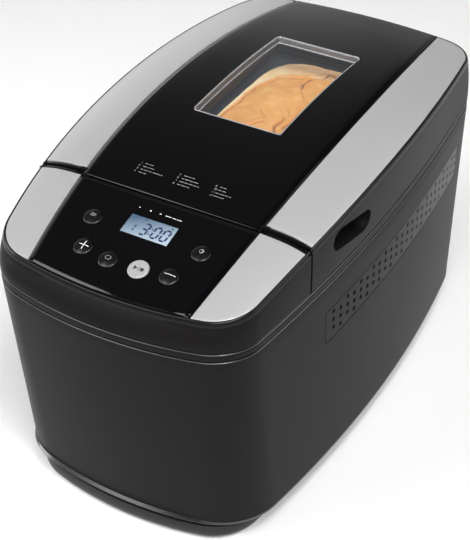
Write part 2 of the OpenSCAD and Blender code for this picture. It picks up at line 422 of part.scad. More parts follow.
// ---- drive ------------------------------------------------------------------------
my = -142; mx = 0;             // motor axis
module chassis_plate() color([0.6, 0.6, 0.62]) difference() {
  intersection() { boxc(-92, 92, -172, 172, 46, 48); translate([0, 0, 45]) linear_extrude(4) polygon(outline(lv_foot, 9)); }
  for (y = sp) translate([0, y, 40]) cylinder(r = 7, h = 20);
  translate([mx, my, 40]) cylinder(r = 12, h = 20);
  for (s = [-1, 1]) boxc(s > 0 ? 60 : -78, s > 0 ? 78 : -60, -60, 60, 40, 50);
}
module bearing_housings() color([0.5, 0.5, 0.52]) for (y = sp) translate([0, y, 48]) difference() {
  union() { cylinder(r = 20, h = 3); cylinder(r = 9.5, h = 14); }
  translate([0, 0, -1]) cylinder(r = 7, h = 20);
}
module bearing_bushes() color([0.7, 0.5, 0.25]) for (y = sp) translate([0, y, 46]) tube(7, 4 + run_gap, 16);
module motor() color([0.45, 0.45, 0.47]) translate([mx, my, 48]) difference() {
  union() { cylinder(r = 33, h = 52); translate([0, 0, 52]) cylinder(r = 12, h = 6); translate([-38, -24, 0]) cube([76, 48, 3]); }
  translate([0, 0, -1]) cylinder(r = 3 + run_gap, h = 54);
}
module motor_pulley() color([0.75, 0.75, 0.77]) translate([mx, my, 0]) {
  translate([0, 0, 23]) cylinder(r = 3, h = 70);
  difference() { translate([0, 0, 24]) cylinder(r = 8.5, h = 9); for (i = [0:11]) rotate(30 * i) translate([8.3, 0, 25]) cylinder(r = 0.8, h = 7, $fn = 16); }
}
function d2(y) = y - my;
function belt2(r1, r2, L) = let (a = asin((r2 - r1) / L)) concat(
  arc([0, L], r2, -a, 180 + a, 36), [[0, L] + r2 * [-cos(a), -sin(a)]],
  arc([0, 0], r1, 180 + a, 360 - a, 24), [r1 * [cos(a), -sin(a)]]);
module belt(r1, r2, L, t, h) linear_extrude(h) difference() {
  polygon(belt2(r1 + t, r2 + t, L));
  polygon(belt2(r1, r2, L));
}
module drive_belt() color([0.1, 0.1, 0.1]) translate([mx, my, 25]) belt(8.7, 34.2, sp[0] - my, 1.6, 7);
module link_belt() color([0.1, 0.1, 0.1]) translate([0, sp[0], 36]) belt(14.2, 14.2, spindle_gap, 1.6, 6);
module drive_pulley() color([0.2, 0.2, 0.2]) translate([0, sp[0], 0]) difference() {
  union() { translate([0, 0, 24]) cylinder(r = 34, h = 1); translate([0, 0, 25]) cylinder(r = 34, h = 7); translate([0, 0, 24]) cylinder(r = 36.5, h = 0.8); translate([0, 0, 32.2]) cylinder(r = 36.5, h = 0.8); translate([0, 0, 24]) cylinder(r = 9, h = 10); }
  translate([0, 0, 20]) cylinder(r = 4, h = 20);
  for (i = [0:5]) rotate(60 * i) translate([21, 0, 20]) cylinder(r = 7, h = 20);
}
module link_pulley(y, sx1) translate([0, y, 35]) difference() { union() { cylinder(r = 14, h = 8); cylinder(r = 16.5, h = 0.8); translate([0, 0, 7.2]) cylinder(r = 16.5, h = 0.8); } translate([0, 0, -1]) cylinder(r = 4, h = 12); }
module link_pulley_front() color([0.2, 0.2, 0.2]) link_pulley(sp[0]);
module link_pulley_rear() color([0.2, 0.2, 0.2]) link_pulley(sp[1]);
module shaft_front() color([0.75, 0.75, 0.77]) translate([0, sp[0], 23]) cylinder(r = 4, h = 40);
module shaft_rear() color([0.75, 0.75, 0.77]) translate([0, sp[1], 33]) cylinder(r = 4, h = 30);
module dog(y) translate([0, y, 0]) { translate([0, 0, 63]) cylinder(r = 9, h = 3); for (a = [0, 180]) rotate(a) translate([4.5, -2, 66]) cube([4, 4, 5.4]); }
module drive_dog_front() color([0.5, 0.5, 0.52]) dog(sp[0]);
module drive_dog_rear() color([0.5, 0.5, 0.52]) dog(sp[1]);

// ---- bread pan ----------------------------------------------------------------------
module bread_pan() color([0.35, 0.35, 0.36]) translate([0, py, 0]) {
  difference() {
    loft([at_z(rrect(pan_hx - 7, pan_hy - 7, 16), 78), at_z(rrect(pan_hx - 6, pan_hy - 6, 17), 80), at_z(rrect(pan_hx, pan_hy, 20), pan_rim_z)]);
    loft([at_z(rrect(pan_hx - 8.2, pan_hy - 8.2, 15), 79.2), at_z(rrect(pan_hx - 7.2, pan_hy - 7.2, 16), 81), at_z(rrect(pan_hx - 1.2, pan_hy - 1.2, 19), pan_rim_z + 0.1)]);
    for (y = [-1, 1]) translate([0, y * spindle_gap / 2, 70]) cylinder(r = 6, h = 20);
  }
  translate([0, 0, pan_rim_z - 1.6]) linear_extrude(1.6) difference() { polygon(rrect(pan_hx + 4, pan_hy + 4, 24)); polygon(rrect(pan_hx - 0.3, pan_hy - 0.3, 19.7)); }
  // base skirt
  difference() { boxc(-43, 43, -83, 83, 65.05, 78.5); boxc(-41.5, 41.5, -81.5, 81.5, 65, 79); translate([0, 0, -0.01]) boxc(-60, 60, -100, 100, 78.01, 80); }
  // handle ears
  for (s = [-1, 1]) difference() {
    translate([s > 0 ? pan_hx - 1.5 : -pan_hx - 4.5, -9, pan_rim_z - 16]) cube([6, 18, 14.8]);
    translate([s * (pan_hx + 1), 0, pan_rim_z - 8]) rotate([0, 90, 0]) cylinder(r = 2 + run_gap, h = 20, center = true);
    translate([s > 0 ? pan_hx - 10 - 0.8 : -pan_hx - 0 + 0.8, -10, pan_rim_z - 20]) cube([10, 20, 18]);
  }
}
hp = [0, py, pan_rim_z - 8];   // handle pivot
hr = atan2(15, 102);           // rise of the resting bail
// the bail rests towards the front, where the loaf leaves room
module pan_handle() color([0.7, 0.7, 0.72]) translate(hp) rotate(180) {
  for (s = [-1, 1]) {
    translate([s * (pan_hx + 1.5), 0, 0]) rotate([0, s * 90, 0]) cylinder(r = 2, h = 7.5);
    translate([s * (pan_hx + 6.5), 0, 0]) rotate([0, s * 90, 0]) cylinder(r = 5, h = 4.8);
    rotate([-90 + hr, 0, 0]) translate([s * (pan_hx + 9), 0, 0]) cylinder(r = 2, h = 92);
    rotate([hr, 0, 0]) translate([s * (pan_hx - 1), 92, 0]) rotate(s > 0 ? 0 : 90) rotate_extrude(angle = 90) translate([10, 0]) circle(r = 2);
  }
  rotate([hr, 0, 0]) translate([-pan_hx + 1, 102, 0]) rotate([0, 90, 0]) cylinder(r = 2, h = 2 * pan_hx - 2);
  rotate([hr, 0, 0]) translate([-30, 102, 0]) rotate([0, 90, 0]) cylinder(r = 3.6, h = 60);
}
module pan_bushes() color([0.7, 0.5, 0.25]) for (y = sp) translate([0, y, 0]) { translate([0, 0, 75]) tube(6, 4 + run_gap, 9.5); translate([0, 0, 79.3]) tube(9, 6, 3); translate([0, 0, 75]) tube(10, 6, 2.9); }
module spindle(y) translate([0, y, 0]) {
  translate([0, 0, 73.5]) cylinder(r = 4, h = 26.5);
  translate([0, 0, 72]) cylinder(r = 9, h = 2.2);
  for (a = [90, 270]) rotate(a) translate([4.5, -2, 66.6]) cube([4, 4, 5.6]);
}
module spindle_front() color([0.75, 0.75, 0.77]) spindle(sp[0]);
module spindle_rear() color([0.75, 0.75, 0.77]) spindle(sp[1]);
module blade(y, a) translate([0, y, 84.8]) rotate(a) difference() {
  union() {
    cylinder(r1 = 10, r2 = 8, h = 18);
    rotate([90, 0, 0]) translate([0, 0, -2]) linear_extrude(4) polygon([[0, 1], [38, 1], [44, 4], [45, 9], [40, 13], [20, 18], [0, 18]]);
  }
  translate([0, 0, -1]) cylinder(r = 4, h = 16.2);
}
module blade_front() color([0.2, 0.2, 0.2]) blade(sp[0], 20);
module blade_rear() color([0.2, 0.2, 0.2]) blade(sp[1], 200);

// ---- electrics ------------------------------------------------------------------------
module power_board() color([0.1, 0.35, 0.15]) {
  boxc(-74, -72.4, -165, -105, 52, 132);
  boxc(-72.4, -46, -160, -132, 104, 130);
  boxc(-72.4, -56, -126, -110, 60, 76);
  translate([-72.4, -117, 100]) rotate([0, 90, 0]) cylinder(r = 7, h = 20);
  boxc(-80, -72.4, -165, -105, 48, 52);
}
function wall_y(z) = (body_hl - 12.8) + 12.8 * (z - 24) / (groove_z - 24);
module cord_gland() color([0.1, 0.1, 0.1]) translate([0, wall_y(44) - 9, 44]) rotate([-90, 0, 0]) difference() {
  union() { cylinder(r = 7.9, h = 15); cylinder(r = 10.5, h = 4.4); translate([0, 0, 11]) cylinder(r = 10.5, h = 3); }
  translate([0, 0, -1]) cylinder(r = 3.75, h = 20);
}

outer_body();
base_plinth();
rubber_feet();
case_screws();
upper_housing();
control_fascia();
trim_front_left();
trim_front_right();
lcd_lens();
lcd_module();
control_board();
tact_switches();
power_board();
button_menu();
button_plus();
button_loaf();
button_start();
button_minus();
button_color();
vent_grille_left();
vent_grille_right();
chassis_plate();
baking_chamber();
pan_seat();
heating_element();
element_supports();
element_terminals();
temperature_sensor();
motor();
motor_pulley();
drive_belt();
drive_pulley();
link_belt();
link_pulley_front();
link_pulley_rear();
shaft_front();
shaft_rear();
drive_dog_front();
drive_dog_rear();
bearing_housings();
bearing_bushes();
hinge_pins();
cord_gland();
lid_shell();
lid_panel();
trim_lid_left();
trim_lid_right();
window_frame();
window_glass();
lid_liner();
inner_glass();
lid_seal();
bread_pan();
pan_handle();
pan_bushes();
spindle_front();
spindle_rear();
blade_front();
blade_rear();
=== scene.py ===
import bpy, bmesh, math, json
import numpy as np
from mathutils import Vector, Matrix


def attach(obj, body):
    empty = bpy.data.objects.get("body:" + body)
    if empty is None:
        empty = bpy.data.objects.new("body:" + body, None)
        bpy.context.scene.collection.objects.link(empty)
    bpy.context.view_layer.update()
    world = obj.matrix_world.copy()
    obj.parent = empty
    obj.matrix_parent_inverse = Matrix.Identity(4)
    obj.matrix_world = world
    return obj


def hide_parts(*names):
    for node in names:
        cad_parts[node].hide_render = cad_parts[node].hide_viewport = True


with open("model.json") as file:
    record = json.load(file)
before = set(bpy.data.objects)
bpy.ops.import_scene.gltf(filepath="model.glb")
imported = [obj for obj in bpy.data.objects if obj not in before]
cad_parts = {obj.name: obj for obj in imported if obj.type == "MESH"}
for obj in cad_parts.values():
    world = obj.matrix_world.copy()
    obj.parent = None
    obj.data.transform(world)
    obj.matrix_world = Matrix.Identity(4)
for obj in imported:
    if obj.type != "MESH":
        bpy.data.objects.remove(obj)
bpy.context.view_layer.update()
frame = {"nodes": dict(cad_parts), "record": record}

MM = 0.001
rng = np.random.default_rng(7)

# ---------------------------------------------------------------- measures
YS = 8.7
FY, LY, FE = -109.3, -107.3, 3.0
HY, HZ = 201.2, 196.0
GZ, WALL, RISE = 182.3, 2.5, 1.1
WX, WY0, WY1 = 36.0, -19.5, 110.5
LCX, LCY = 1.4, -138.4
FOOT = (115, 5.2, -193.0, 16.7, 48, 193.0, 16.7, 34)
GROOVE = (113, 3.9, -205.8, 18, 39, 205.8, 18, 33)
MID = (114.2, 4.6, -203.2, 15, 37, 205.0, 17, 33)
LIP = (115, 5.3, -196.4, 12, 35, 201.0, 16, 33)
STRIP = (113, 5.3, -194.0, 12, 33, 198.8, 16, 31)
PLINTH = (105, 5.2, -193.6, 20, 40, 186.0, 18, 34)
N1, N2, N3 = 26, 16, 14


def corner(L, d, e):
    Rs = 5000.0 / L[1] - d
    W = L[0] - d
    E = (L[2] if e < 0 else L[5]) - e * d
    Re = 5000.0 / (L[3] if e < 0 else L[6]) - d
    rc = (L[4] if e < 0 else L[7]) - d
    cs, ce = np.array([W - Rs, YS]), np.array([0.0, E - e * Re])
    v = ce - cs
    dd = np.hypot(*v)
    r1, r2 = Rs - rc, Re - rc
    a = (r1 * r1 - r2 * r2 + dd * dd) / (2 * dd)
    h = math.sqrt(max(0, r1 * r1 - a * a))
    m, n = cs + v * a / dd, np.array([-v[1], v[0]]) / dd
    p, q = m + n * h, m - n * h
    cf = p if p[0] * 10 + e * p[1] > q[0] * 10 + e * q[1] else q
    ts = cs + (cf - cs) * Rs / np.hypot(*(cf - cs))
    te = ce + (cf - ce) * Re / np.hypot(*(cf - ce))
    return cs, Rs, cf, rc, ce, Re, ts, te


def ang(v):
    return math.atan2(v[1], v[0])


def arc(c, r, a0, a1, n):
    t = a0 + (a1 - a0) * np.arange(n) / n
    return np.stack([c[0] + r * np.cos(t), c[1] + r * np.sin(t)], 1)


def path(L, d, e, y0, n1=N1, n2=N2, n3=N3):
    cs, Rs, cf, rc, ce, Re, ts, te = corner(L, d, e)
    y = y0 + (ts[1] - y0) * np.arange(n1) / n1
    s = np.stack([cs[0] + np.sqrt(Rs * Rs - (y - YS) ** 2), y], 1)
    return np.concatenate([s, arc(cf, rc, ang(ts - cf), ang(te - cf), n2),
                           arc(ce, Re, ang(te - ce), e * math.pi / 2, n3), [[0, ce[1] + e * Re]]])


def outline(L, d):
    f, b = path(L, d, -1, YS), path(L, d, 1, YS)
    mir = np.array([-1.0, 1.0])
    return np.concatenate([f[::-1], b[1:], b[::-1][1:-1] * mir, f[:1] * mir, f[1:-1] * mir])


def crown(x):
    return 8.3 * np.maximum(0, (np.abs(x) - 62) / 51.3) ** 3


def zt(x, y):
    t = (np.asarray(y, float) + 1.5) / 100
    return 242.6 + 3.47 * t - 6.96 * t * t + 0.272 * t ** 3 - crown(np.asarray(x, float))


def slope(y):
    t = (y + 1.5) / 100
    return math.atan((3.47 - 13.92 * t + 0.816 * t * t) / 100)


def panel_x(y):
    return 75.3 - 3.26 * ((np.asarray(y, float) - YS) / 100) ** 2


def end_y(L, d, e, x):
    c = corner(L, d, e)
    return c[4][1] + e * np.sqrt(c[5] ** 2 - np.asarray(x, float) ** 2)


# ---------------------------------------------------------------- meshes
def new_obj(name, V, F, mat, body, sharp=35, fmat=None, merge=1e-6, recalc=True):
    me = bpy.data.meshes.new(name)
    me.from_pydata((np.asarray(V, float) * MM).tolist(), [], F)
    mats = mat if isinstance(mat, (list, tuple)) else [mat]
    for m in mats:
        me.materials.append(m)
    if fmat is not None:
        me.polygons.foreach_set("material_index", np.asarray(fmat, np.int32))
    o = bpy.data.objects.new(name, me)
    bpy.context.scene.collection.objects.link(o)
    tidy(o, sharp, merge, recalc)
    if body:
        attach(o, body)
    return o


def tidy(o, sharp=35, merge=1e-6, recalc=True):
    me = o.data
    bm = bmesh.new()
    bm.from_mesh(me)
    if merge:
        bmesh.ops.remove_doubles(bm, verts=bm.verts, dist=merge)
    bmesh.ops.dissolve_degenerate(bm, dist=1e-7, edges=bm.edges)
    if recalc:
        bmesh.ops.recalc_face_normals(bm, faces=bm.faces)
    lim = math.radians(sharp)
    for f in bm.faces:
        f.smooth = True
    for e in bm.edges:
        e.smooth = not (len(e.link_faces) == 2 and e.calc_face_angle(0) > lim)
    bm.to_mesh(me)
    bm.free()
    me.update()


def grid_faces(n, m, closed_u=False, closed_v=False, off=0):
    F = []
    for i in range(n if closed_u else n - 1):
        for j in range(m if closed_v else m - 1):
            i2, j2 = (i + 1) % n, (j + 1) % m
            F.append((off + i * m + j, off + i * m + j2, off + i2 * m + j2, off + i2 * m + j))
    return F


def ring_loft(rings, caps=(True, True), closed_v=False):
    """Closed rings stacked in order; each ring is N x 3."""
    n, m = len(rings), len(rings[0])
    V = np.concatenate(rings)
    F = grid_faces(n, m, closed_u=closed_v, closed_v=True)
    if not closed_v:
        if caps[0]:
            F.append(tuple(range(m)))
        if caps[1]:
            F.append(tuple(range((n - 1) * m, n * m))[::-1])
    return V, F


def at_z(P, z):
    return np.column_stack([P, np.full(len(P), float(z))])


def apply_mods(o, sharp=35):
    dg = bpy.context.evaluated_depsgraph_get()
    me = bpy.data.meshes.new_from_object(o.evaluated_get(dg), depsgraph=dg)
    o.modifiers.clear()
    old = o.data
    o.data = me
    bpy.data.meshes.remove(old)
    tidy(o, sharp)


def cut(o, cutter, op="DIFFERENCE", sharp=35, keep=False):
    m = o.modifiers.new("b", "BOOLEAN")
    m.operation, m.solver, m.object = op, "EXACT", cutter
    apply_mods(o, sharp)
    if not keep:
        bpy.data.objects.remove(cutter, do_unlink=True)
    return o


def box_vf(x0, x1, y0, y1, z0, z1):
    V = [(x, y, z) for z in (z0, z1) for y in (y0, y1) for x in (x0, x1)]
    F = [(0, 2, 3, 1), (4, 5, 7, 6), (0, 1, 5, 4), (2, 6, 7, 3), (0, 4, 6, 2), (1, 3, 7, 5)]
    return np.array(V, float), F


def join_vf(*parts):
    V, F, o = [], [], 0
    for v, f in parts:
        V.append(np.asarray(v, float))
        F += [tuple(i + o for i in q) for q in f]
        o += len(v)
    return np.concatenate(V), F


def helper(name, V, F):
    return new_obj(name, V, F, MAT["dark_plastic"], None)


def cyl_vf(c, axis, r, h0, h1, n=32):
    """Closed cylinder along a unit axis (0, 1 or 2)."""
    a = np.arange(n) * 2 * math.pi / n
    u, w = [(1, 2), (2, 0), (0, 1)][axis]
    rings = []
    for h in (h0, h1):
        P = np.zeros((n, 3))
        P[:, u], P[:, w], P[:, axis] = r * np.cos(a), r * np.sin(a), h
        rings.append(P + np.asarray(c, float))
    return ring_loft(rings)


def bevel(o, w, seg=3, angle=40, sharp=35):
    m = o.modifiers.new("v", "BEVEL")
    m.width, m.segments, m.limit_method, m.angle_limit = w * MM, seg, "ANGLE", math.radians(angle)
    apply_mods(o, sharp)
    return o


# ---------------------------------------------------------------- materials
def node_mat(name, base, rough=0.5, metal=0.0, spec=0.5, noise=900.0, bump=0.06, dist=0.00002, mottle=0.05,
             coat=0.0, coat_rough=0.1, rough_var=0.06, stretch=None, big=14.0, aniso=0.0, ramp=None):
    m = bpy.data.materials.new(name)
    m.use_nodes = True
    nt = m.node_tree
    N, Lk = nt.nodes, nt.links
    b = N["Principled BSDF"]
    b.inputs["Metallic"].default_value = metal
    b.inputs["Specular IOR Level"].default_value = spec
    b.inputs["Coat Weight"].default_value = coat
    b.inputs["Coat Roughness"].default_value = coat_rough
    b.inputs["Anisotropic"].default_value = aniso
    tc = N.new("ShaderNodeTexCoord")
    src = tc.outputs["Object"]
    if stretch:
        mp = N.new("ShaderNodeMapping")
        mp.inputs["Scale"].default_value = stretch
        Lk.new(src, mp.inputs["Vector"])
        fine_src = mp.outputs["Vector"]
    else:
        fine_src = src
    nb = N.new("ShaderNodeTexNoise")
    nb.inputs["Scale"].default_value = big
    nb.inputs["Detail"].default_value = 3
    Lk.new(src, nb.inputs["Vector"])
    nf = N.new("ShaderNodeTexNoise")
    nf.inputs["Scale"].default_value = noise
    nf.inputs["Detail"].default_value = 4
    nf.inputs["Roughness"].default_value = 0.6
    Lk.new(fine_src, nf.inputs["Vector"])
    mix = N.new("ShaderNodeMix")
    mix.data_type = "RGBA"
    c = np.array(base[:3])
    d = ramp if ramp is not None else np.clip(c * (1 + 2.2 * mottle) + 0.002 * mottle, 0, 1)
    mix.inputs["A"].default_value = (*np.clip(c * (1 - mottle), 0, 1), 1)
    mix.inputs["B"].default_value = (*d, 1)
    add = N.new("ShaderNodeMath")
    add.operation = "MULTIPLY_ADD"
    Lk.new(nf.outputs["Fac"], add.inputs[0])
    add.inputs[1].default_value = 0.35
    mr = N.new("ShaderNodeMath")
    mr.operation = "MULTIPLY"
    mr.inputs[1].default_value = 0.65
    Lk.new(nb.outputs["Fac"], mr.inputs[0])
    Lk.new(mr.outputs[0], add.inputs[2])
    Lk.new(add.outputs[0], mix.inputs["Factor"])
    Lk.new(mix.outputs["Result"], b.inputs["Base Color"])
    rr = N.new("ShaderNodeMapRange")
    rr.inputs["To Min"].default_value = max(0.02, rough - rough_var)
    rr.inputs["To Max"].default_value = min(1.0, rough + rough_var)
    Lk.new(add.outputs[0], rr.inputs["Value"])
    Lk.new(rr.outputs["Result"], b.inputs["Roughness"])
    bp = N.new("ShaderNodeBump")
    bp.inputs["Strength"].default_value = bump
    bp.inputs["Distance"].default_value = dist
    Lk.new(nf.outputs["Fac"], bp.inputs["Height"])
    Lk.new(bp.outputs["Normal"], b.inputs["Normal"])
    return m


MAT = {
    "body_plastic": node_mat("body_plastic", (0.0075, 0.0067, 0.0071), 0.40, spec=0.08, noise=1400, bump=0.25, dist=0.00003, mottle=0.05),
    "dark_plastic": node_mat("dark_plastic", (0.012, 0.012, 0.0125), 0.42, spec=0.3, noise=1200, bump=0.15, dist=0.00003),
    "gloss_black": node_mat("gloss_black", (0.0022, 0.0022, 0.0026), 0.07, spec=0.5, noise=260, bump=0.012, dist=0.00002, rough_var=0.02),
    "satin_metal": node_mat("satin_metal", (0.55, 0.55, 0.55), 0.38, metal=0.5, spec=0.5, noise=420, bump=0.05, dist=0.00002, mottle=0.02, stretch=(1.0, 0.04, 1.0), rough_var=0.05),
    "button_black": node_mat("button_black", (0.004, 0.004, 0.0045), 0.26, spec=0.5, noise=1500, bump=0.05, dist=0.00002),
    "button_silver": node_mat("button_silver", (0.42, 0.42, 0.42), 0.38, metal=0.3, noise=1500, bump=0.05, mottle=0.02),
    "rubber": node_mat("rubber", (0.012, 0.012, 0.012), 0.8, noise=900, bump=0.3, dist=0.00005),
    "seal_silicone": node_mat("seal_silicone", (0.05, 0.05, 0.052), 0.6, noise=700, bump=0.15, dist=0.00004),
    "sheet_steel": node_mat("sheet_steel", (0.55, 0.55, 0.56), 0.34, metal=1.0, noise=500, bump=0.08, dist=0.00003, mottle=0.06, stretch=(1.0, 0.15, 1.0)),
    "shaft_steel": node_mat("shaft_steel", (0.62, 0.62, 0.64), 0.2, metal=1.0, noise=800, bump=0.05, mottle=0.04),
    "cast_alloy": node_mat("cast_alloy", (0.42, 0.42, 0.43), 0.5, metal=1.0, noise=500, bump=0.4, dist=0.00008, mottle=0.08),
    "pan_coating": node_mat("pan_coating", (0.055, 0.055, 0.058), 0.38, metal=0.4, noise=2200, bump=0.25, dist=0.00004, mottle=0.12),
    "bronze": node_mat("bronze", (0.48, 0.33, 0.15), 0.35, metal=1.0, noise=900, bump=0.15, mottle=0.1),
    "circuit_board": node_mat("circuit_board", (0.02, 0.13, 0.045), 0.35, noise=300, bump=0.1, mottle=0.2),
    "ceramic_white": node_mat("ceramic_white", (0.72, 0.69, 0.62), 0.4, noise=600, bump=0.08, mottle=0.04),
    "element_alloy": node_mat("element_alloy", (0.07, 0.065, 0.06), 0.55, metal=0.7, noise=700, bump=0.3, mottle=0.2),
    "print_white": node_mat("print_white", (0.75, 0.75, 0.75), 0.5, noise=2500, bump=0.03, mottle=0.03),
    "lcd_ink": node_mat("lcd_ink", (0.012, 0.02, 0.07), 0.4, noise=1500, bump=0.02, mottle=0.1),
    "bezel_clear": node_mat("bezel_clear", (0.40, 0.41, 0.43), 0.20, metal=0.5, noise=900, bump=0.02, mottle=0.05),
    "tunnel_grey": node_mat("tunnel_grey", (0.12, 0.123, 0.13), 0.30, spec=0.6, metal=0.2, noise=240, bump=0.15, dist=0.0001, mottle=0.25, big=30),
    # darker copy of tunnel_grey: painted shade for the left long side of the window's inner wall
    "tunnel_painted_shade": node_mat("tunnel_painted_shade", (0.042, 0.044, 0.048), 0.34, spec=0.5, noise=240, bump=0.15, dist=0.0001, mottle=0.25, big=30),
    "print_grey": node_mat("print_grey", (0.27, 0.27, 0.27), 0.5, noise=2500, bump=0.03, mottle=0.03),
    "grip_black": node_mat("grip_black", (0.0035, 0.0035, 0.0038), 0.55, spec=0.1, noise=1400, bump=0.2, dist=0.00003),
    "vent_plastic": node_mat("vent_plastic", (0.0078, 0.0070, 0.0074), 0.42, spec=0.10, noise=1400, bump=0.2, dist=0.00003),
    "edge_sheen": node_mat("edge_sheen", (0.010, 0.0098, 0.010), 0.22, spec=0.75, noise=1400, bump=0.1, dist=0.00002),
    "well_dark": node_mat("well_dark", (0.022, 0.024, 0.028), 0.6, spec=0.12, noise=500, bump=0.15, dist=0.00004),
    "print_dark": node_mat("print_dark", (0.03, 0.03, 0.035), 0.5, noise=2500, bump=0.03, mottle=0.03),
}


def glass_mat(name, tint, alpha, rough=0.03, haze=0.0, haze_color=(0.72, 0.79, 0.90)):
    """Thin pane: mostly see-through, with a Fresnel gloss on top, so light still reaches what is behind it."""
    m = bpy.data.materials.new(name)
    m.use_nodes = True
    nt = m.node_tree
    N, Lk = nt.nodes, nt.links
    N.remove(N["Principled BSDF"])
    out = N["Material Output"]
    tr = N.new("ShaderNodeBsdfTransparent")
    gl = N.new("ShaderNodeBsdfGlossy")
    mx = N.new("ShaderNodeMixShader")
    # Schlick reflectance from Layer Weight: the same from both sides, as a thin pane has
    lw = N.new("ShaderNodeLayerWeight")
    lw.inputs["Blend"].default_value = 0.5
    p5 = N.new("ShaderNodeMath")
    p5.operation = "POWER"
    p5.inputs[1].default_value = 5.0
    Lk.new(lw.outputs["Facing"], p5.inputs[0])
    fr = N.new("ShaderNodeMath")
    fr.operation = "MULTIPLY_ADD"
    fr.inputs[1].default_value = 0.96
    fr.inputs[2].default_value = 0.04
    Lk.new(p5.outputs[0], fr.inputs[0])
    gl.inputs["Roughness"].default_value = rough
    gl.inputs["Color"].default_value = (1, 1, 1, 1)
    tc = N.new("ShaderNodeTexCoord")
    ns = N.new("ShaderNodeTexNoise")
    ns.inputs["Scale"].default_value = 60
    Lk.new(tc.outputs["Object"], ns.inputs["Vector"])
    cm = N.new("ShaderNodeMix")
    cm.data_type = "RGBA"
    cm.inputs["A"].default_value = (*tint, 1)
    cm.inputs["B"].default_value = (*[min(1, t * 1.04) for t in tint], 1)
    Lk.new(ns.outputs["Fac"], cm.inputs["Factor"])
    Lk.new(cm.outputs["Result"], tr.inputs["Color"])
    mu = N.new("ShaderNodeMath")
    mu.operation = "MULTIPLY"
    mu.inputs[1].default_value = alpha
    Lk.new(fr.outputs[0], mu.inputs[0])
    Lk.new(mu.outputs[0], mx.inputs[0])
    df = N.new("ShaderNodeBsdfDiffuse")
    df.inputs["Color"].default_value = (*haze_color, 1)
    hz = N.new("ShaderNodeMixShader")
    hm = N.new("ShaderNodeMapRange")
    hm.inputs["To Min"].default_value = haze * 0.9
    hm.inputs["To Max"].default_value = haze * 1.1
    Lk.new(ns.outputs["Fac"], hm.inputs["Value"])
    Lk.new(hm.outputs["Result"], hz.inputs[0])
    Lk.new(tr.outputs[0], hz.inputs[1])
    Lk.new(df.outputs[0], hz.inputs[2])
    Lk.new(hz.outputs[0], mx.inputs[1])
    Lk.new(gl.outputs[0], mx.inputs[2])
    Lk.new(mx.outputs[0], out.inputs["Surface"])
    return m


MAT["clear_window"] = glass_mat("clear_window", (0.97, 0.98, 0.985), 0.9, haze=0.022)
MAT["inner_window"] = glass_mat("inner_window", (0.97, 0.98, 0.985), 0.9, haze=0.055)


def lcd_mat():
    """Display face with a painted light gradient: dim towards its far left corner, brighter towards the near right one;
    it also glows faintly in the same painted colours.
    """
    m = node_mat("display_lens", (0.30, 0.37, 0.43), 0.22, noise=700, bump=0.02, mottle=0.06, big=30, coat=0.6, coat_rough=0.08)
    nt = m.node_tree
    N, Lk = nt.nodes, nt.links
    b = N["Principled BSDF"]
    src = b.inputs["Base Color"].links[0].from_socket
    tc = N.new("ShaderNodeTexCoord")
    mp = N.new("ShaderNodeMapping")
    mp.inputs["Location"].default_value = (-LCX / 1000, -LCY / 1000, 0)
    Lk.new(tc.outputs["Object"], mp.inputs["Vector"])
    dt = N.new("ShaderNodeVectorMath")
    dt.operation = "DOT_PRODUCT"
    dt.inputs[1].default_value = (17.0, -42.0, 0)
    Lk.new(mp.outputs["Vector"], dt.inputs[0])
    ad = N.new("ShaderNodeMath")
    ad.operation = "ADD"
    ad.use_clamp = True
    ad.inputs[1].default_value = 0.5
    Lk.new(dt.outputs["Value"], ad.inputs[0])
    mx = N.new("ShaderNodeMix")
    mx.data_type = "RGBA"
    Lk.new(ad.outputs[0], mx.inputs["Factor"])
    mx.inputs["A"].default_value = (0.055, 0.095, 0.15, 1)
    Lk.new(src, mx.inputs["B"])
    Lk.new(mx.outputs["Result"], b.inputs["Base Color"])
    # painted glow: the face emits its painted gradient colours
    Lk.new(mx.outputs["Result"], b.inputs["Emission Color"])
    b.inputs["Emission Strength"].default_value = 0.22
    return m


MAT["display_lens"] = lcd_mat()


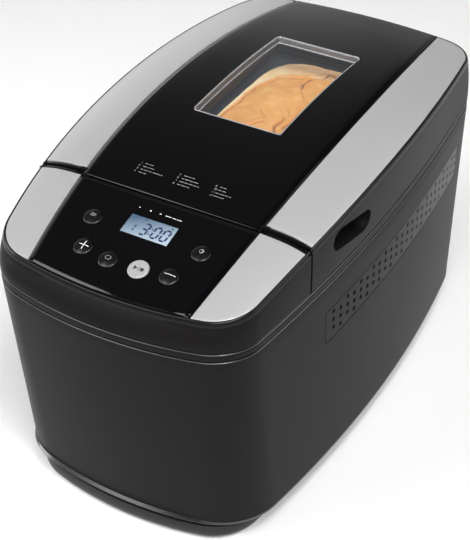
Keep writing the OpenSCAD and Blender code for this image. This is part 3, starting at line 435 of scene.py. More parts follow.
def crust_mat():
    m = bpy.data.materials.new("bread_crust")
    m.use_nodes = True
    nt = m.node_tree
    N, Lk = nt.nodes, nt.links
    b = N["Principled BSDF"]
    b.inputs["Roughness"].default_value = 0.7
    b.inputs["Specular IOR Level"].default_value = 0.25
    b.inputs["Subsurface Weight"].default_value = 0.06
    b.inputs["Subsurface Scale"].default_value = 0.003
    b.inputs["Subsurface Radius"].default_value = (1.0, 0.5, 0.25)
    tc = N.new("ShaderNodeTexCoord")
    n1 = N.new("ShaderNodeTexNoise")
    n1.inputs["Scale"].default_value = 70
    n1.inputs["Detail"].default_value = 8
    n1.inputs["Roughness"].default_value = 0.65
    n2 = N.new("ShaderNodeTexNoise")
    n2.inputs["Scale"].default_value = 520
    n2.inputs["Detail"].default_value = 5
    Lk.new(tc.outputs["Object"], n1.inputs["Vector"])
    Lk.new(tc.outputs["Object"], n2.inputs["Vector"])
    r1 = N.new("ShaderNodeValToRGB")
    r1.color_ramp.elements[0].position, r1.color_ramp.elements[0].color = 0.30, (0.74, 0.31, 0.062, 1)
    r1.color_ramp.elements[1].position, r1.color_ramp.elements[1].color = 0.72, (0.92, 0.51, 0.145, 1)
    e = r1.color_ramp.elements.new(0.52)
    e.color = (0.84, 0.40, 0.085, 1)
    Lk.new(n1.outputs["Fac"], r1.inputs["Fac"])
    col = r1.outputs["Color"]
    # 'crust' darkens the crack lines: browner crust at the splits plus painted shade in the creases
    for nm, c in (("gold", (0.86, 0.36, 0.06, 1)), ("pale_crust_and_light", (1.0, 0.80, 0.46, 1)), ("crust", (0.20, 0.055, 0.012, 1))):
        at = N.new("ShaderNodeAttribute")
        at.attribute_name = nm
        mx = N.new("ShaderNodeMix")
        mx.data_type = "RGBA"
        Lk.new(at.outputs["Fac"], mx.inputs["Factor"])
        Lk.new(col, mx.inputs["A"])
        mx.inputs["B"].default_value = c
        col = mx.outputs["Result"]
    Lk.new(col, b.inputs["Base Color"])
    bp = N.new("ShaderNodeBump")
    bp.inputs["Strength"].default_value = 0.55
    bp.inputs["Distance"].default_value = 0.0005
    ad = N.new("ShaderNodeMath")
    ad.operation = "MULTIPLY_ADD"
    ad.inputs[1].default_value = 0.4
    Lk.new(n2.outputs["Fac"], ad.inputs[0])
    Lk.new(n1.outputs["Fac"], ad.inputs[2])
    Lk.new(ad.outputs[0], bp.inputs["Height"])
    Lk.new(bp.outputs["Normal"], b.inputs["Normal"])
    return m


MAT["bread_crust"] = crust_mat()

for sp_ in frame["record"]["subparts"]:
    ob_ = frame["nodes"].get(sp_["node"])
    m_ = MAT.get(sp_.get("material_slot"))
    if ob_ is None or m_ is None:
        continue
    if not ob_.material_slots:
        ob_.data.materials.append(m_)
    for s_ in ob_.material_slots:
        s_.material = m_

# ---------------------------------------------------------------- body shell
FO, GO = {}, {}


def body_ring(z, d):
    a, b = FO.setdefault(d, outline(FOOT, d)), GO.setdefault(d, outline(GROOVE, d))
    t = (z - 24) / (GZ - 24)
    return at_z(a + (b - a) * t, z)


def foot_ring(z, d):
    return at_z(outline(FOOT, d), z)


def foot_lip(z, d, out):
    """Foot ring with its front drawn out along Y by a small lip."""
    R = foot_ring(z, d)
    w = np.interp(R[:, 0], [-113, -104, 48, 88], [0, 1, 1, 0])
    R[:, 1] = np.where(R[:, 1] < 0, R[:, 1] * (1 + w * out / 193.0), R[:, 1])
    return R


prof = [foot_ring(17.0, 5.0), foot_ring(17.0, 3.0), foot_lip(17.1, 2.5, 0.5), foot_lip(17.35, 2.1, 0.9), foot_lip(18.3, 1.25, 1.7), foot_lip(19.0, 0.4, 2.15), foot_lip(19.5, 0.1, 2.2), foot_lip(19.85, 0.0, 2.1), foot_lip(21.4, 0.0, 0.1)]
prof += [foot_ring(22.3, 0.0), foot_ring(23.9, 0.0)] + [body_ring(z, 0) for z in (24.6, 36, 56, 76, 96, 116, 136, 156, 172, 181.5)]
prof += [at_z(outline(GROOVE, 0.1), 182.0), at_z(outline(GROOVE, 0.35), 182.22), at_z(outline(GROOVE, 0.7), 182.3), at_z(outline(GROOVE, WALL), 182.3)]
prof += [body_ring(z, WALL) for z in (150, 90, 24)] + [foot_ring(21, WALL)]
V, F = ring_loft(prof, closed_v=True)
nr, mr_ = len(prof), len(prof[0])
itop = [i for i in range(nr) if abs(prof[i][0, 2] - 181.5) < 1e-6][0]
fm = np.repeat([1 if (2 <= i <= 7 or itop <= i <= itop + 2) else 0 for i in range(nr)], mr_)
body = new_obj("outer_body_skin", V, F, [MAT["body_plastic"], MAT["edge_sheen"]], None, sharp=30, fmat=fm)
Vb, Fb = join_vf(box_vf(100, 125, -88.35, 151.35, 130.65, 159.35), box_vf(-125, -100, -88.35, 151.35, 130.65, 159.35),
                 cyl_vf((0, 0, 44), 1, 8.0, 180, 215))
cut(body, helper("cut_body", Vb, Fb), sharp=30)
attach(body, "machine")
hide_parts("outer_body")
# inside flange, seen only from below
V, F = ring_loft([foot_ring(20.05, 3.3), foot_ring(21.8, 2.4), foot_ring(21.8, 23), foot_ring(20.05, 23)], closed_v=True)
o = new_obj("body_bottom_flange", V, F, MAT["body_plastic"], "machine")


# vent panels
def body_x(y, z, d):
    t = (z - 24) / (GZ - 24)
    ca, cb = corner(FOOT, d, 1 if y > YS else -1), corner(GROOVE, d, 1 if y > YS else -1)
    Y = ca[6][1] + (cb[6][1] - ca[6][1]) * t
    u = (y - YS) / (Y - YS)
    xa = ca[0][0] + math.sqrt(ca[1] ** 2 - (u * (ca[6][1] - YS)) ** 2)
    xb = cb[0][0] + math.sqrt(cb[1] ** 2 - (u * (cb[6][1] - YS)) ** 2)
    return xa + (xb - xa) * t


def painted_light_along_y(m, y0, y1, c1):
    """Painted light: lighter base colour towards the rear end of the vent panels."""
    nt = m.node_tree
    N, Lk = nt.nodes, nt.links
    b = N["Principled BSDF"]
    src = b.inputs["Base Color"].links[0].from_socket
    tc = N.new("ShaderNodeTexCoord")
    sp = N.new("ShaderNodeSeparateXYZ")
    Lk.new(tc.outputs["Object"], sp.inputs[0])
    mr = N.new("ShaderNodeMapRange")
    mr.interpolation_type = "SMOOTHSTEP"
    mr.inputs["From Min"].default_value = y0
    mr.inputs["From Max"].default_value = y1
    Lk.new(sp.outputs["Y"], mr.inputs["Value"])
    mx = N.new("ShaderNodeMix")
    mx.data_type = "RGBA"
    Lk.new(mr.outputs["Result"], mx.inputs["Factor"])
    Lk.new(src, mx.inputs["A"])
    mx.inputs["B"].default_value = (*c1, 1)
    Lk.new(mx.outputs["Result"], b.inputs["Base Color"])


# painted light: the vent panels' colour lightens towards their rear end
painted_light_along_y(MAT["vent_plastic"], -0.04, 0.19, (0.10, 0.097, 0.098))


def vent_panel(s, name):
    ys = np.linspace(-88, 151, 60)
    ys = np.concatenate([[ys[0], ys[0] + 0.4], ys[1:-1], [ys[-1] - 0.4, ys[-1]]])
    zs = np.array([131, 131.4, 138, 145, 152, 158.6, 159])
    out, inn = [], []
    for y in ys:
        e = 0.7 if y in (ys[0], ys[-1]) else 0.0
        out.append([(s * (body_x(y, z, 0) - max(e, 0.7 if z in (131, 159) else 0)), y, z) for z in zs])
        inn.append([(s * body_x(y, z, WALL), y, z) for z in zs])
    P = np.concatenate([np.array(out), np.array(inn)[:, ::-1]], 1)
    n, m = P.shape[:2]
    F = grid_faces(n, m, closed_v=True) + [tuple(range(m)), tuple(range((n - 1) * m, n * m))[::-1]]
    o = new_obj(name, P.reshape(-1, 3), F, MAT["vent_plastic"], None, sharp=30)
    parts = []
    for i in range(24):
        for k in range(3):
            y, z = -77.6 + 9.74 * i, 154.4 - 7.2 * k - (i % 2) * 3.6
            parts.append(cyl_vf((s * 108, y, z), 0, 1.85, -10, 10, 20))
            xo = body_x(y, z, 0)
    cut(o, helper("cut_v", *join_vf(*parts)), sharp=30)
    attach(o, "machine")
    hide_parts(name.replace("_skin", ""))
    # dark sheet just behind the holes: painted shade standing in for the dark inside of the body
    P = np.array([[(s * (body_x(y, z, WALL) - 1.0), y, z) for z in (133, 145, 157)] for y in np.linspace(-84, 147, 20)])
    Q = P - np.array([s * 0.8, 0, 0])
    P = np.concatenate([P, Q[:, ::-1]], 1)
    n, m = P.shape[:2]
    F = grid_faces(n, m, closed_v=True) + [tuple(range(m)), tuple(range((n - 1) * m, n * m))[::-1]]
    q = new_obj(name.replace("grille", "shade_sheet"), P.reshape(-1, 3), F, MAT["grip_black"], "machine")


vent_panel(1, "vent_grille_right_skin")
vent_panel(-1, "vent_grille_left_skin")

# plinth
pl = lambda z, d: at_z(outline(PLINTH, d), z)
V, F = ring_loft([pl(0.9, 6.0), pl(0.95, 5.0), pl(1.3, 3.6), pl(2.1, 2.3), pl(3.4, 1.15), pl(5.2, 0.35), pl(7.0, 0.03), pl(8, 0), pl(12.4, 0), pl(13.0, 0.2),
                  pl(13.5, 0.8), pl(13.9, 2.0), pl(14.5, 7), pl(20, 7)])
plinth = new_obj("base_plinth_skin", V, F, MAT["dark_plastic"], None, sharp=30)
parts = [cyl_vf((x, y, 0), 2, 4.6, 0, 3.2) for x in (-78, 78) for y in (-132, 132)]
parts += [box_vf(i * 12 - 2, i * 12 + 2, -40, 40, 0, 6) for i in range(-3, 4)]
cut(plinth, helper("cut_p", *join_vf(*parts)), sharp=30)
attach(plinth, "machine")
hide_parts("base_plinth")

# ---------------------------------------------------------------- band and deck
g = lambda z, d: at_z(outline(GROOVE, d), z)
V, F = ring_loft([g(182.75, 3.6), g(182.75, 1.3), g(182.95, 0.75), g(183.35, 0.35), g(183.9, 0.2), g(188.2, 0.2), g(188.7, 0.35), g(189.05, 0.8), g(189.2, 1.5), g(189.2, 3.6)], closed_v=True)
band = new_obj("housing_band", V, F, [MAT["body_plastic"], MAT["edge_sheen"]], "machine", sharp=30, fmat=np.repeat([0, 0, 0, 0, 0, 1, 1, 1, 0, 0], len(V) // 10))
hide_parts("upper_housing")
V, F = ring_loft([g(186.5, 2), g(189.6, 2), g(190, 2.4)])
deck = new_obj("housing_deck", V, F, MAT["dark_plastic"], None, sharp=30)
cut(deck, helper("cut_d", *join_vf(box_vf(-79, 79, -80, 170, 180, 200), box_vf(-70, 70, -185, -118, 180, 200))), sharp=30)
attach(deck, "machine")


# ---------------------------------------------------------------- shells of console and lid
def rim_profile(g_, m_, l_, s_, z0, gi_):
    """Outer face from z0 up the wall, over the rim and in to the ledge below the trims; one row of points."""
    P = []
    zm = 190 + (float(zt(m_[0], m_[1])) - 190) * 0.45
    zl = float(zt(l_[0], l_[1])) - 3.2
    A, B, C = np.array([*g_, z0]), np.array([*m_, zm]), np.array([*l_, zl])
    # small radius on the lower edge, then the wall: quadratic curve through three points
    nin = (gi_ - g_) / max(1e-6, float(np.hypot(*(gi_ - g_))))
    P.append(np.array([*(g_ + nin * 0.55), z0]))
    P.append(np.array([*(g_ + nin * 0.16), z0 + 0.18]))
    ts = [0.02, 0.06, 0.12, 0.3, 0.5, 0.7, 0.88, 1.0]
    tm = (zm - z0) / (zl - z0)
    for t in ts:
        la = (t - tm) * (t - 1) / (tm * 1.0)
        lb = t * (t - 1) / (tm * (tm - 1))
        lc = t * (t - tm) / (1 - tm)
        P.append(A * la + B * lb + C * lc)
    D = np.array([*s_, float(zt(s_[0], s_[1])) + 0.25])
    # rim: quarter of a rounded corner from C up and in to D
    for a in np.linspace(0, 1, 8)[1:]:
        q = a * math.pi / 2
        w, h = 1 - math.cos(q), math.sin(q)
        w = w ** 0.85
        P.append(np.array([C[0] + (D[0] - C[0]) * w, C[1] + (D[1] - C[1]) * w, C[2] + (D[2] - C[2]) * h]))
    return P, C


def shell_rows(e, y0, z0):
    gp, mp, lp, sp = (path(L, 0, e, y0) for L in (GROOVE, MID, LIP, STRIP))
    gi, mi, li, si = (path(L, WALL, e, y0) for L in (GROOVE, MID, LIP, STRIP))
    s2 = path(STRIP, 5.5, e, y0)
    rows = []
    for j in range(len(gp)):
        P, C = rim_profile(gp[j], mp[j], lp[j], sp[j], z0, gi[j])
        sx, sy = sp[j]
        z = float(zt(sx, sy))
        P.append(np.array([sx * 1.0, sy, z - 0.15]) + np.array([*(s2[j] - sp[j]), 0]) * 0.03)
        P.append(np.array([*(sp[j] + (s2[j] - sp[j]) * 0.07), float(zt(*(sp[j] + (s2[j] - sp[j]) * 0.07))) - 1.75]))
        P.append(np.array([*s2[j], float(zt(*s2[j])) - 1.75]))
        P.append(np.array([*s2[j], float(zt(*s2[j])) - 4.2]))
        zi = float(zt(li[j][0], li[j][1]))
        P.append(np.array([*li[j], zi - 6.5]))
        P.append(np.array([*mi[j], 190 + (float(zt(*mi[j])) - 190) * 0.42]))
        P.append(np.array([*gi[j], z0]))
        rows.append(P)
    R = np.array(rows)                      # rows x profile x 3, right half, seam to middle
    Lh = R[::-1][1:] * np.array([-1.0, 1, 1])
    return np.concatenate([R, Lh])


NWALL, NRIM = 10, 7


def shell_obj(name, e, y0, z0):
    R = shell_rows(e, y0, z0)
    n, m = R.shape[:2]
    F = grid_faces(n, m, closed_v=True)
    fm = []
    for i in range(n - 1):
        for j in range(m):
            fm.append(1 if NWALL - 1 <= j < NWALL + NRIM + 3 else 0)
    F += [tuple(range(m)), tuple(range((n - 1) * m, n * m))[::-1]]
    fm += [0, 0]
    return new_obj(name, R.reshape(-1, 3), F, [MAT["body_plastic"], MAT["rim_black"]], None, sharp=38, fmat=fm)


MAT["rim_black"] = node_mat("rim_black", (0.005, 0.005, 0.0055), 0.26, spec=0.24, noise=900, bump=0.05, dist=0.00002)

console = shell_obj("console_shell", -1, FY, 190.0)
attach(console, "machine")

lid = shell_obj("lid_shell_skin", 1, LY, 190.6)


def grip_cutter(s, d, x0, x1, n=20):
    """Capsule-section bar along X, tilted with the lid."""
    r, h = 8.7 + d, 17.3
    a = [(h + r * math.cos(t), r * math.sin(t)) for t in np.linspace(-math.pi / 2, math.pi / 2, n)]
    a += [(-h - r * math.cos(t), -r * math.sin(t)) for t in np.linspace(-math.pi / 2, math.pi / 2, n)]
    c, sn = math.cos(math.radians(-11)), math.sin(math.radians(-11))
    P = [(-56.5 + u * c - w * sn, 211.2 + u * sn + w * c) for u, w in a]
    return [np.array([[s * x, y, z] for y, z in P]) for x in (x0, x1)]


def grip_mouth(s, d, depth):
    """One ring of the cup, at a constant depth below the bowed side wall."""
    R = grip_cutter(s, d, 0, 0)[0]
    R[:, 0] = s * (113.0 - 3.914 * ((R[:, 1] - 8.7) / 100) ** 2 - depth)
    return R


parts = [box_vf(-130, 130, 190, 215, 180, 200.9)]
for s in (1, -1):
    parts.append(ring_loft(grip_cutter(s, 0, 125, 100)))
cut(lid, helper("cut_l", *join_vf(*parts)), sharp=38)
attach(lid, "lid")
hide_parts("lid_shell")
for s, nm in ((1, "right"), (-1, "left")):
    c = lambda d, x: grip_cutter(s, d, x, x)[0]
    V, F = ring_loft([grip_mouth(s, -0.02, 1.9), grip_mouth(s, -0.5, 1.9), grip_mouth(s, -0.7, 2.3), c(-0.8, 101.5), c(-1.4, 100.0), c(-2.8, 99.0), c(-4.6, 98.6), c(-6.5, 98.5)], caps=(False, True))
    cup = new_obj("grip_cup_" + nm, V, F, MAT["grip_black"], "lid", sharp=50)


def bulkhead(name, y0, y1, body, z0, holes=()):
    """Front or back face plate that closes a shell across its width."""
    ym = y0 if body == "machine" else y1
    pts = []
    yy = (y0 + y1) / 2
    cs = corner(GROOVE, 1.0, -1)
    def sx(L, d):
        R = 5000.0 / L[1] - d
        return L[0] - d - R + math.sqrt(R * R - (yy - YS) ** 2)
    a = [(sx(GROOVE, 0.8), z0), (sx(MID, 0.8), 190 + (float(zt(110, yy)) - 190) * 0.45), (sx(LIP, 0.8), float(zt(sx(LIP, 0.8), yy)) - 3.6), (sx(STRIP, 0.6), float(zt(sx(STRIP, 0.6), yy)) - 0.5)]
    b = [(x, float(zt(x, yy)) - 0.5) for x in (108, 100, 92, 84, 78, 75.4)]
    t = [(x, float(zt(x, yy)) + (-1.5 if body == "machine" else 0.55)) for x in (75.0, 60, 40, 20, 0)]
    P = a + b + t
    P = P + [(-x, z) for x, z in P[:-1][::-1]]
    V = [(x, y0, z) for x, z in P] + [(x, y1, z) for x, z in P]
    n = len(P)
    F = [tuple(range(n)), tuple(range(n, 2 * n))[::-1]] + [(i, n + i, n + (i + 1) % n, (i + 1) % n) for i in range(n)]
    o = new_obj(name, V, F, MAT["rim_black"], None, sharp=30)
    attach(o, body)
    return o


bulkhead("console_back_wall", FY - 2.4, FY - 0.05, "machine", 189.5)
bulkhead("lid_front_wall", LY + 0.05, LY + 2.4, "lid", 190.7)
# ledge that the lid panel's front edge closes over
R = []
for x in np.linspace(-74.6, 74.6, 15):
    R.append(np.array([(x, y, float(zt(x, y)) - q) for y, q in ((-117.4, 1.0), (-111.5, 1.0), (-111.5, 3.4), (-117.4, 3.4))]))
V, F = ring_loft(R)
ledge = new_obj("console_seam_ledge", V, F, MAT["rim_black"], "machine", sharp=40)


# ---------------------------------------------------------------- trims
def plate_obj(name, top, mat, body, under=1.6, sharp=35, fmat=None):
    """Closed thin plate from a grid of top points whose border already rolls down."""
    n, m = top.shape[:2]
    low = top.copy()
    low[:, :, 2] -= 0.0
    ring = [(i, 0) for i in range(n)] + [(n - 1, j) for j in range(1, m)] + [(i, m - 1) for i in range(n - 2, -1, -1)] + [(0, j) for j in range(m - 2, 0, -1)]
    V = list(top.reshape(-1, 3))
    F = grid_faces(n, m)
    base = len(V)
    for i, j in ring:
        p = top[i, j].copy()
        p[2] -= under
        V.append(p)
    k = len(ring)
    for q in range(k):
        a, b = ring[q], ring[(q + 1) % k]
        F.append((a[0] * m + a[1], base + q, base + (q + 1) % k, b[0] * m + b[1]))
    F.append(tuple(range(base, base + k)))
    fm = None
    if fmat is not None:
        fm = list(fmat) + [0] * (k + 1)
    return new_obj(name, np.array(V), F, mat, body, sharp, fmat=fm)


def edge_fracs(w, K, e=(0.0, 0.1, 0.3, 0.6)):
    e = np.array(e)
    f = np.minimum(e / max(w, 1e-3), np.array([0, 0.1, 0.2, 0.3]))
    mid = np.linspace(f[-1], 1 - f[-1], K)[1:-1]
    return np.concatenate([f, mid, (1 - f)[::-1]])


DROP = np.array([-0.42, -0.14, -0.03, 0.0])


def ruled(A, B, K=12, seam_rows=True, lift=0.0):
    """Top grid between two plan curves A (inner) and B (outer), on the crowned top surface."""
    rows = []
    for i in range(len(A)):
        a, b = A[i], B[i]
        w = float(np.hypot(*(b - a)))
        f = edge_fracs(w, K)
        dr = np.concatenate([DROP, np.zeros(K - 2), DROP[::-1]])
        if seam_rows and i < 4:
            dr = np.minimum(dr, DROP[i])
        P = a[None] + (b - a)[None] * f[:, None]
        rows.append(np.column_stack([P, zt(P[:, 0], P[:, 1]) + dr + lift]))
    return np.array(rows)


def resample(P, n):
    d = np.concatenate([[0], np.cumsum(np.hypot(*np.diff(P, axis=0).T))])
    t = np.linspace(0, d[-1], n)
    return np.column_stack([np.interp(t, d, P[:, 0]), np.interp(t, d, P[:, 1])])


def strip_curves(e, y0, n):
    P = path(STRIP, 0.45, e, y0)
    ins = P[:, 0] > panel_x(P[:, 1]) + 0.55
    k = int(np.argmin(ins))
    a, b = P[k - 1], P[k]
    fa, fb = a[0] - panel_x(a[1]) - 0.55, b[0] - panel_x(b[1]) - 0.55
    E = a + (b - a) * fa / (fa - fb)
    B = resample(np.concatenate([P[:k], [E]]), n)
    B = np.concatenate([B[:1], B[:1] + (B[1] - B[0]) * np.array([[0.03], [0.09], [0.2]]), B[1:]])
    s = np.concatenate([[0], np.cumsum(np.hypot(*np.diff(B, axis=0).T))])
    s /= s[-1]
    yi = y0 + (E[1] - y0) * s
    yi[:4] = B[:4, 1]
    f = np.clip((s - 0.1) / 0.9, 0, 1)
    A = np.column_stack([panel_x(yi) + 0.55, yi])
    return A, B


for e, y0, body_, nm in ((-1, FY - FE, "machine", "front"), (1, LY + FE, "lid", "lid")):
    A, B = strip_curves(e, y0, 54 if e < 0 else 96)
    top = ruled(A, B)
    if e > 0:
        top = top[:, ::-1]
    for s, sd in ((1, "right"), (-1, "left")):
        T = top * np.array([s, 1.0, 1.0])
        o = plate_obj(f"trim_{nm}_{sd}_skin", T, MAT["satin_metal"], body_)
        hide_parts(f"trim_{nm}_{sd}")

# ---------------------------------------------------------------- gloss panels
# offset from the edge against height over the trims: a wide low bevel, then the flat of the panel
BV = [(0.0, -0.25), (0.06, 0.0), (0.2, 0.12), (3.2, RISE - 0.07), (3.45, RISE - 0.015), (3.7, RISE)]
BE = [(0.0, -0.25), (0.05, 0.35), (0.2, 0.78), (0.45, RISE - 0.08), (0.8, RISE)]
BF = [(0.0, -0.4), (0.1, RISE - 1.0), (0.3, RISE - 0.82), (0.7, RISE - 0.64), (1.4, RISE - 0.42), (2.2, RISE - 0.18), (2.8, RISE - 0.04), (3.3, RISE)]
# front edge of the lid panel, and the fine raised edge at the back of the fascia
BL = [(0.0, -0.25), (0.05, 0.2), (0.15, RISE - 0.52), (1.15, RISE - 0.05), (1.5, RISE)]
BB = [(0.0, -0.25), (0.05, 0.6), (0.15, RISE + 0.2), (0.3, RISE + 0.28), (0.42, RISE + 0.295), (0.55, RISE + 0.28), (1.4, RISE + 0.03), (1.55, RISE + 0.01), (1.8, RISE)]


def half_cols(win):
    c = [0, 8, 16, 24, 30, win] if win else [0, 8, 18, 28, 40]
    return c


def panel_grid(y_rows, drops, fn_end, win):
    """y_rows: list of functions x -> y; drops: height over the trims allowed by that row."""
    rows = []
    for fy, dr in zip(y_rows, drops):
        row = []
        c = half_cols(win)
        x0 = c[-1]
        # first find x positions, which depend a little on y
        for x in c:
            row.append((x, None))
        for w in (0.25, 0.5, 0.75):
            row.append((("w", w), None))
        for off, h in BV[::-1]:
            row.append((("o", off), h))
        pts = []
        for spec, h in row:
            x = float(spec) if not isinstance(spec, tuple) else 60.0
            for _ in range(6):
                y = fy(x)
                ex = float(panel_x(y)) - 0.5
                if isinstance(spec, tuple):
                    x = x0 + spec[1] * (ex - 3.7 - x0) if spec[0] == "w" else ex - spec[1]
            y = fy(x)
            hh = min(RISE if h is None else h, dr, RISE)
            if dr > RISE and (h is None or h > RISE - 0.2):
                hh += dr - RISE
            pts.append([x, y, float(zt(x, y)) + hh])
        rows.append([[-p[0], p[1], p[2]] for p in pts[::-1][:-1]] + pts)
    return np.array(rows)


# lid panel
yf = -110.9
back = lambda x: float(end_y(STRIP, 0.4, 1, x)) - 0.5
rows, drops = [], []
for off, h in BL:
    rows.append(lambda x, o=off: yf + o)
    drops.append(h)
for y in np.linspace(yf + 3, WY0 - 0.4, 12):
    rows.append(lambda x, y=y: y)
    drops.append(RISE)
for y in np.linspace(WY0 - 0.4, WY1 + 0.4, 22)[1:]:
    rows.append(lambda x, y=y: y)
    drops.append(RISE)
for w in np.linspace(0, 1, 10)[1:]:
    rows.append(lambda x, w=w: (WY1 + 0.4) + w * (back(x) - 1.0 - WY1 - 0.4))
    drops.append(RISE)
for off, h in BE[::-1][1:]:
    rows.append(lambda x, o=off: back(x) - o)
    drops.append(h)
G = panel_grid(rows, drops, None, WX + 0.35)
n, m = G.shape[:2]
mid = m // 2
ylo = [i for i in range(n) if abs(G[i, mid, 1] - (WY0 - 0.4)) < 1e-6][0]
yhi = [i for i in range(n) if abs(G[i, mid, 1] - (WY1 + 0.4)) < 1e-6][0]
V = list(G.reshape(-1, 3))
F = []
for i in range(n - 1):
    for j in range(m - 1):
        if ylo <= i < yhi and mid - 5 <= j < mid + 5:
            continue
        F.append((i * m + j, i * m + j + 1, (i + 1) * m + j + 1, (i + 1) * m + j))


def skirt(V, F, ring, depth):
    base = len(V)
    for q in ring:
        p = np.array(V[q], float).copy()
        p[2] -= depth
        V.append(p)
    k = len(ring)
    for q in range(k):
        F.append((ring[q], base + q, base + (q + 1) % k, ring[(q + 1) % k]))
    return base


def grid_ring(i0, i1, j0, j1, m):
    return [i * m + j0 for i in range(i0, i1 + 1)] + [i1 * m + j for j in range(j0 + 1, j1 + 1)] + [i * m + j1 for i in range(i1 - 1, i0 - 1, -1)] + [i0 * m + j for j in range(j1 - 1, j0, -1)]


skirt(V, F, grid_ring(0, n - 1, 0, m - 1, m), 1.6)
skirt(V, F, grid_ring(ylo, yhi, mid - 5, mid + 5, m), 2.4)
panel = new_obj("lid_panel_skin", np.array(V), F, MAT["gloss_black"], "lid", sharp=24)
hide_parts("lid_panel")

# console fascia
yb = -115.3
front = lambda x: float(end_y(STRIP, 0.4, -1, x)) + 0.1
rows, drops = [], []
for off, h in BF:
    rows.append(lambda x, o=off: front(x) + o)
    drops.append(h)
for w in np.linspace(0, 1, 16)[1:-1]:
    rows.append(lambda x, w=w: front(x) + 3.3 + w * (yb - 1.7 - front(x) - 3.3))
    drops.append(RISE)
for off, h in BB[::-1]:
    rows.append(lambda x, o=off: yb - o)
    drops.append(h)
G = panel_grid(rows, drops, None, None)
# the bead along the front edge is fuller on the left than on the right
for i in range(3, len(BF)):
    hb = G[i, :, 2] - zt(G[i, :, 0], G[i, :, 1])
    k = np.interp(G[i, :, 0], [-50, 50], [1.0, 0.2])
    G[i, :, 2] += np.where(hb > 0.1, (1 - k) * np.maximum(RISE - hb, 0) * np.clip((panel_x(G[i, :, 1]) - 4.2 - np.abs(G[i, :, 0])) / 12, 0, 1), 0)
n, m = G.shape[:2]
V = list(G.reshape(-1, 3))
F = grid_faces(n, m)
base = skirt(V, F, grid_ring(0, n - 1, 0, m - 1, m), 1.6)
F.append(tuple(range(base, len(V)))[::-1])
fascia = new_obj("control_fascia_skin", np.array(V), F, MAT["gloss_black"], None, sharp=24)

BTN = [("menu", -40.5, -143.2, 6.7), ("plus", -32.8, -167.1, 6.7), ("loaf", -11.0, -170.2, 6.7), ("start", 12.5, -169.6, 7.4),
       ("minus", 34.6, -167.4, 6.7), ("color", 44.6, -143.4, 6.7)]


def place(x, y):
    """Local frame on the panel: u right, v to the back, w out of the panel."""
    a = slope(y)
    o = np.array([x, y, float(zt(x, y)) + RISE])
    return o, np.array([1.0, 0, 0]), np.array([0, math.cos(a), math.sin(a)]), np.array([0, -math.sin(a), math.cos(a)])


def to_world(fr, P):
    P = np.atleast_2d(np.asarray(P, float))
    return fr[0] + P[:, :1] * fr[1] + P[:, 1:2] * fr[2] + P[:, 2:3] * fr[3]


parts = []
for nm, x, y, r in BTN:
    V2, F2 = cyl_vf((0, 0, 0), 2, r + 0.35, -8, 6, 56)
    parts.append((to_world(place(x, y), V2), F2))
V2, F2 = box_vf(-18.45, 18.45, -8.45, 8.45, -8, 6)
parts.append((to_world(place(LCX, LCY), V2), F2))
cut(fascia, helper("cut_f", *join_vf(*parts)), sharp=24)
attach(fascia, "machine")
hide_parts("control_fascia")


# ---------------------------------------------------------------- buttons and display
def revolve(prof, fr, n=56):
    """prof: (radius, height) pairs, the last at radius 0."""
    a = np.arange(n) * 2 * math.pi / n
    V, F = [], []
    for r, h in prof[:-1]:
        V += [(r * math.cos(t), r * math.sin(t), h) for t in a]
    V.append((0, 0, prof[-1][1]))
    k = len(prof) - 1
    F = grid_faces(k, n, closed_v=True)
    F += [((k - 1) * n + j, (k - 1) * n + (j + 1) % n, k * n) for j in range(n)]
    F.append(tuple(range(n))[::-1])
    return to_world(fr, V), F


def dome(x, r, h0, h1):
    return h0 + (h1 - h0) * (1 - (x / r) ** 2)


SYMZ = {}
for nm, x, y, r in BTN:
    fr = place(x, y)
    if nm == "start":
        pf = [(r, -6), (r, 0.05), (r - 0.06, 0.3), (r - 0.25, 0.52), (r - 0.6, 0.62), (r - 1.2, 0.6), (r * 0.5, 0.56), (0, 0.55)]
        mt, h0, h1 = "button_silver", 0.6, 0.55
    else:
        R0 = r - 0.5
        pf = [(r, -6), (r, -0.15), (r - 0.08, 0.12), (r - 0.25, 0.3), (r - 0.5, 0.42)]
        pf += [(q, dome(q, R0, 0.42, 1.35)) for q in np.linspace(R0, 0, 9)[1:-1]] + [(0, 1.35)]
        mt, h0, h1 = "button_black", 0.42, 1.35
    V2, F2 = revolve(pf, fr)
    o = new_obj(f"button_{nm}_cap", V2, F2, MAT[mt], f"key_{nm}", sharp=50, recalc=True)
    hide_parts(f"button_{nm}")
    SYMZ[nm] = (fr, r - 0.5, h0, h1)


def decal(name, polys, fr, zf, mat, body, lift=0.03):
    """Flat printed shapes: each poly is a list of (u, v); quads or n-gons, finely split by the caller where they bend."""
    V, F = [], []
    for P in polys:
        b = len(V)
        for u, v in P:
            V.append((u, v, zf(u, v) + lift))
        F.append(tuple(range(b, b + len(P))))
    o = new_obj(name, to_world(fr, V), F, mat, body, merge=0, recalc=False)
    return o


def rect(u0, u1, v0, v1):
    return [(u0, v0), (u1, v0), (u1, v1), (u0, v1)]


def bar(u0, u1, v0, v1, n=6):
    us = np.linspace(u0, u1, n + 1)
    return [rect(us[i], us[i + 1], v0, v1) for i in range(n)]


def arc_band(cx, cy, r0, r1, a0, a1, n=20):
    t = np.radians(np.linspace(a0, a1, n + 1))
    return [[(cx + r0 * math.cos(t[i]), cy + r0 * math.sin(t[i])), (cx + r1 * math.cos(t[i]), cy + r1 * math.sin(t[i])),
             (cx + r1 * math.cos(t[i + 1]), cy + r1 * math.sin(t[i + 1])), (cx + r0 * math.cos(t[i + 1]), cy + r0 * math.sin(t[i + 1]))] for i in range(n)]


def disc(cx, cy, r, n=16):
    t = np.linspace(0, 2 * math.pi, n + 1)[:-1]
    return [[(cx + r * math.cos(a), cy + r * math.sin(a)) for a in t]]


def on_button(nm):
    fr, R0, h0, h1 = SYMZ[nm]
    return fr, (lambda u, v: dome(math.hypot(u, v), R0, h0, h1))


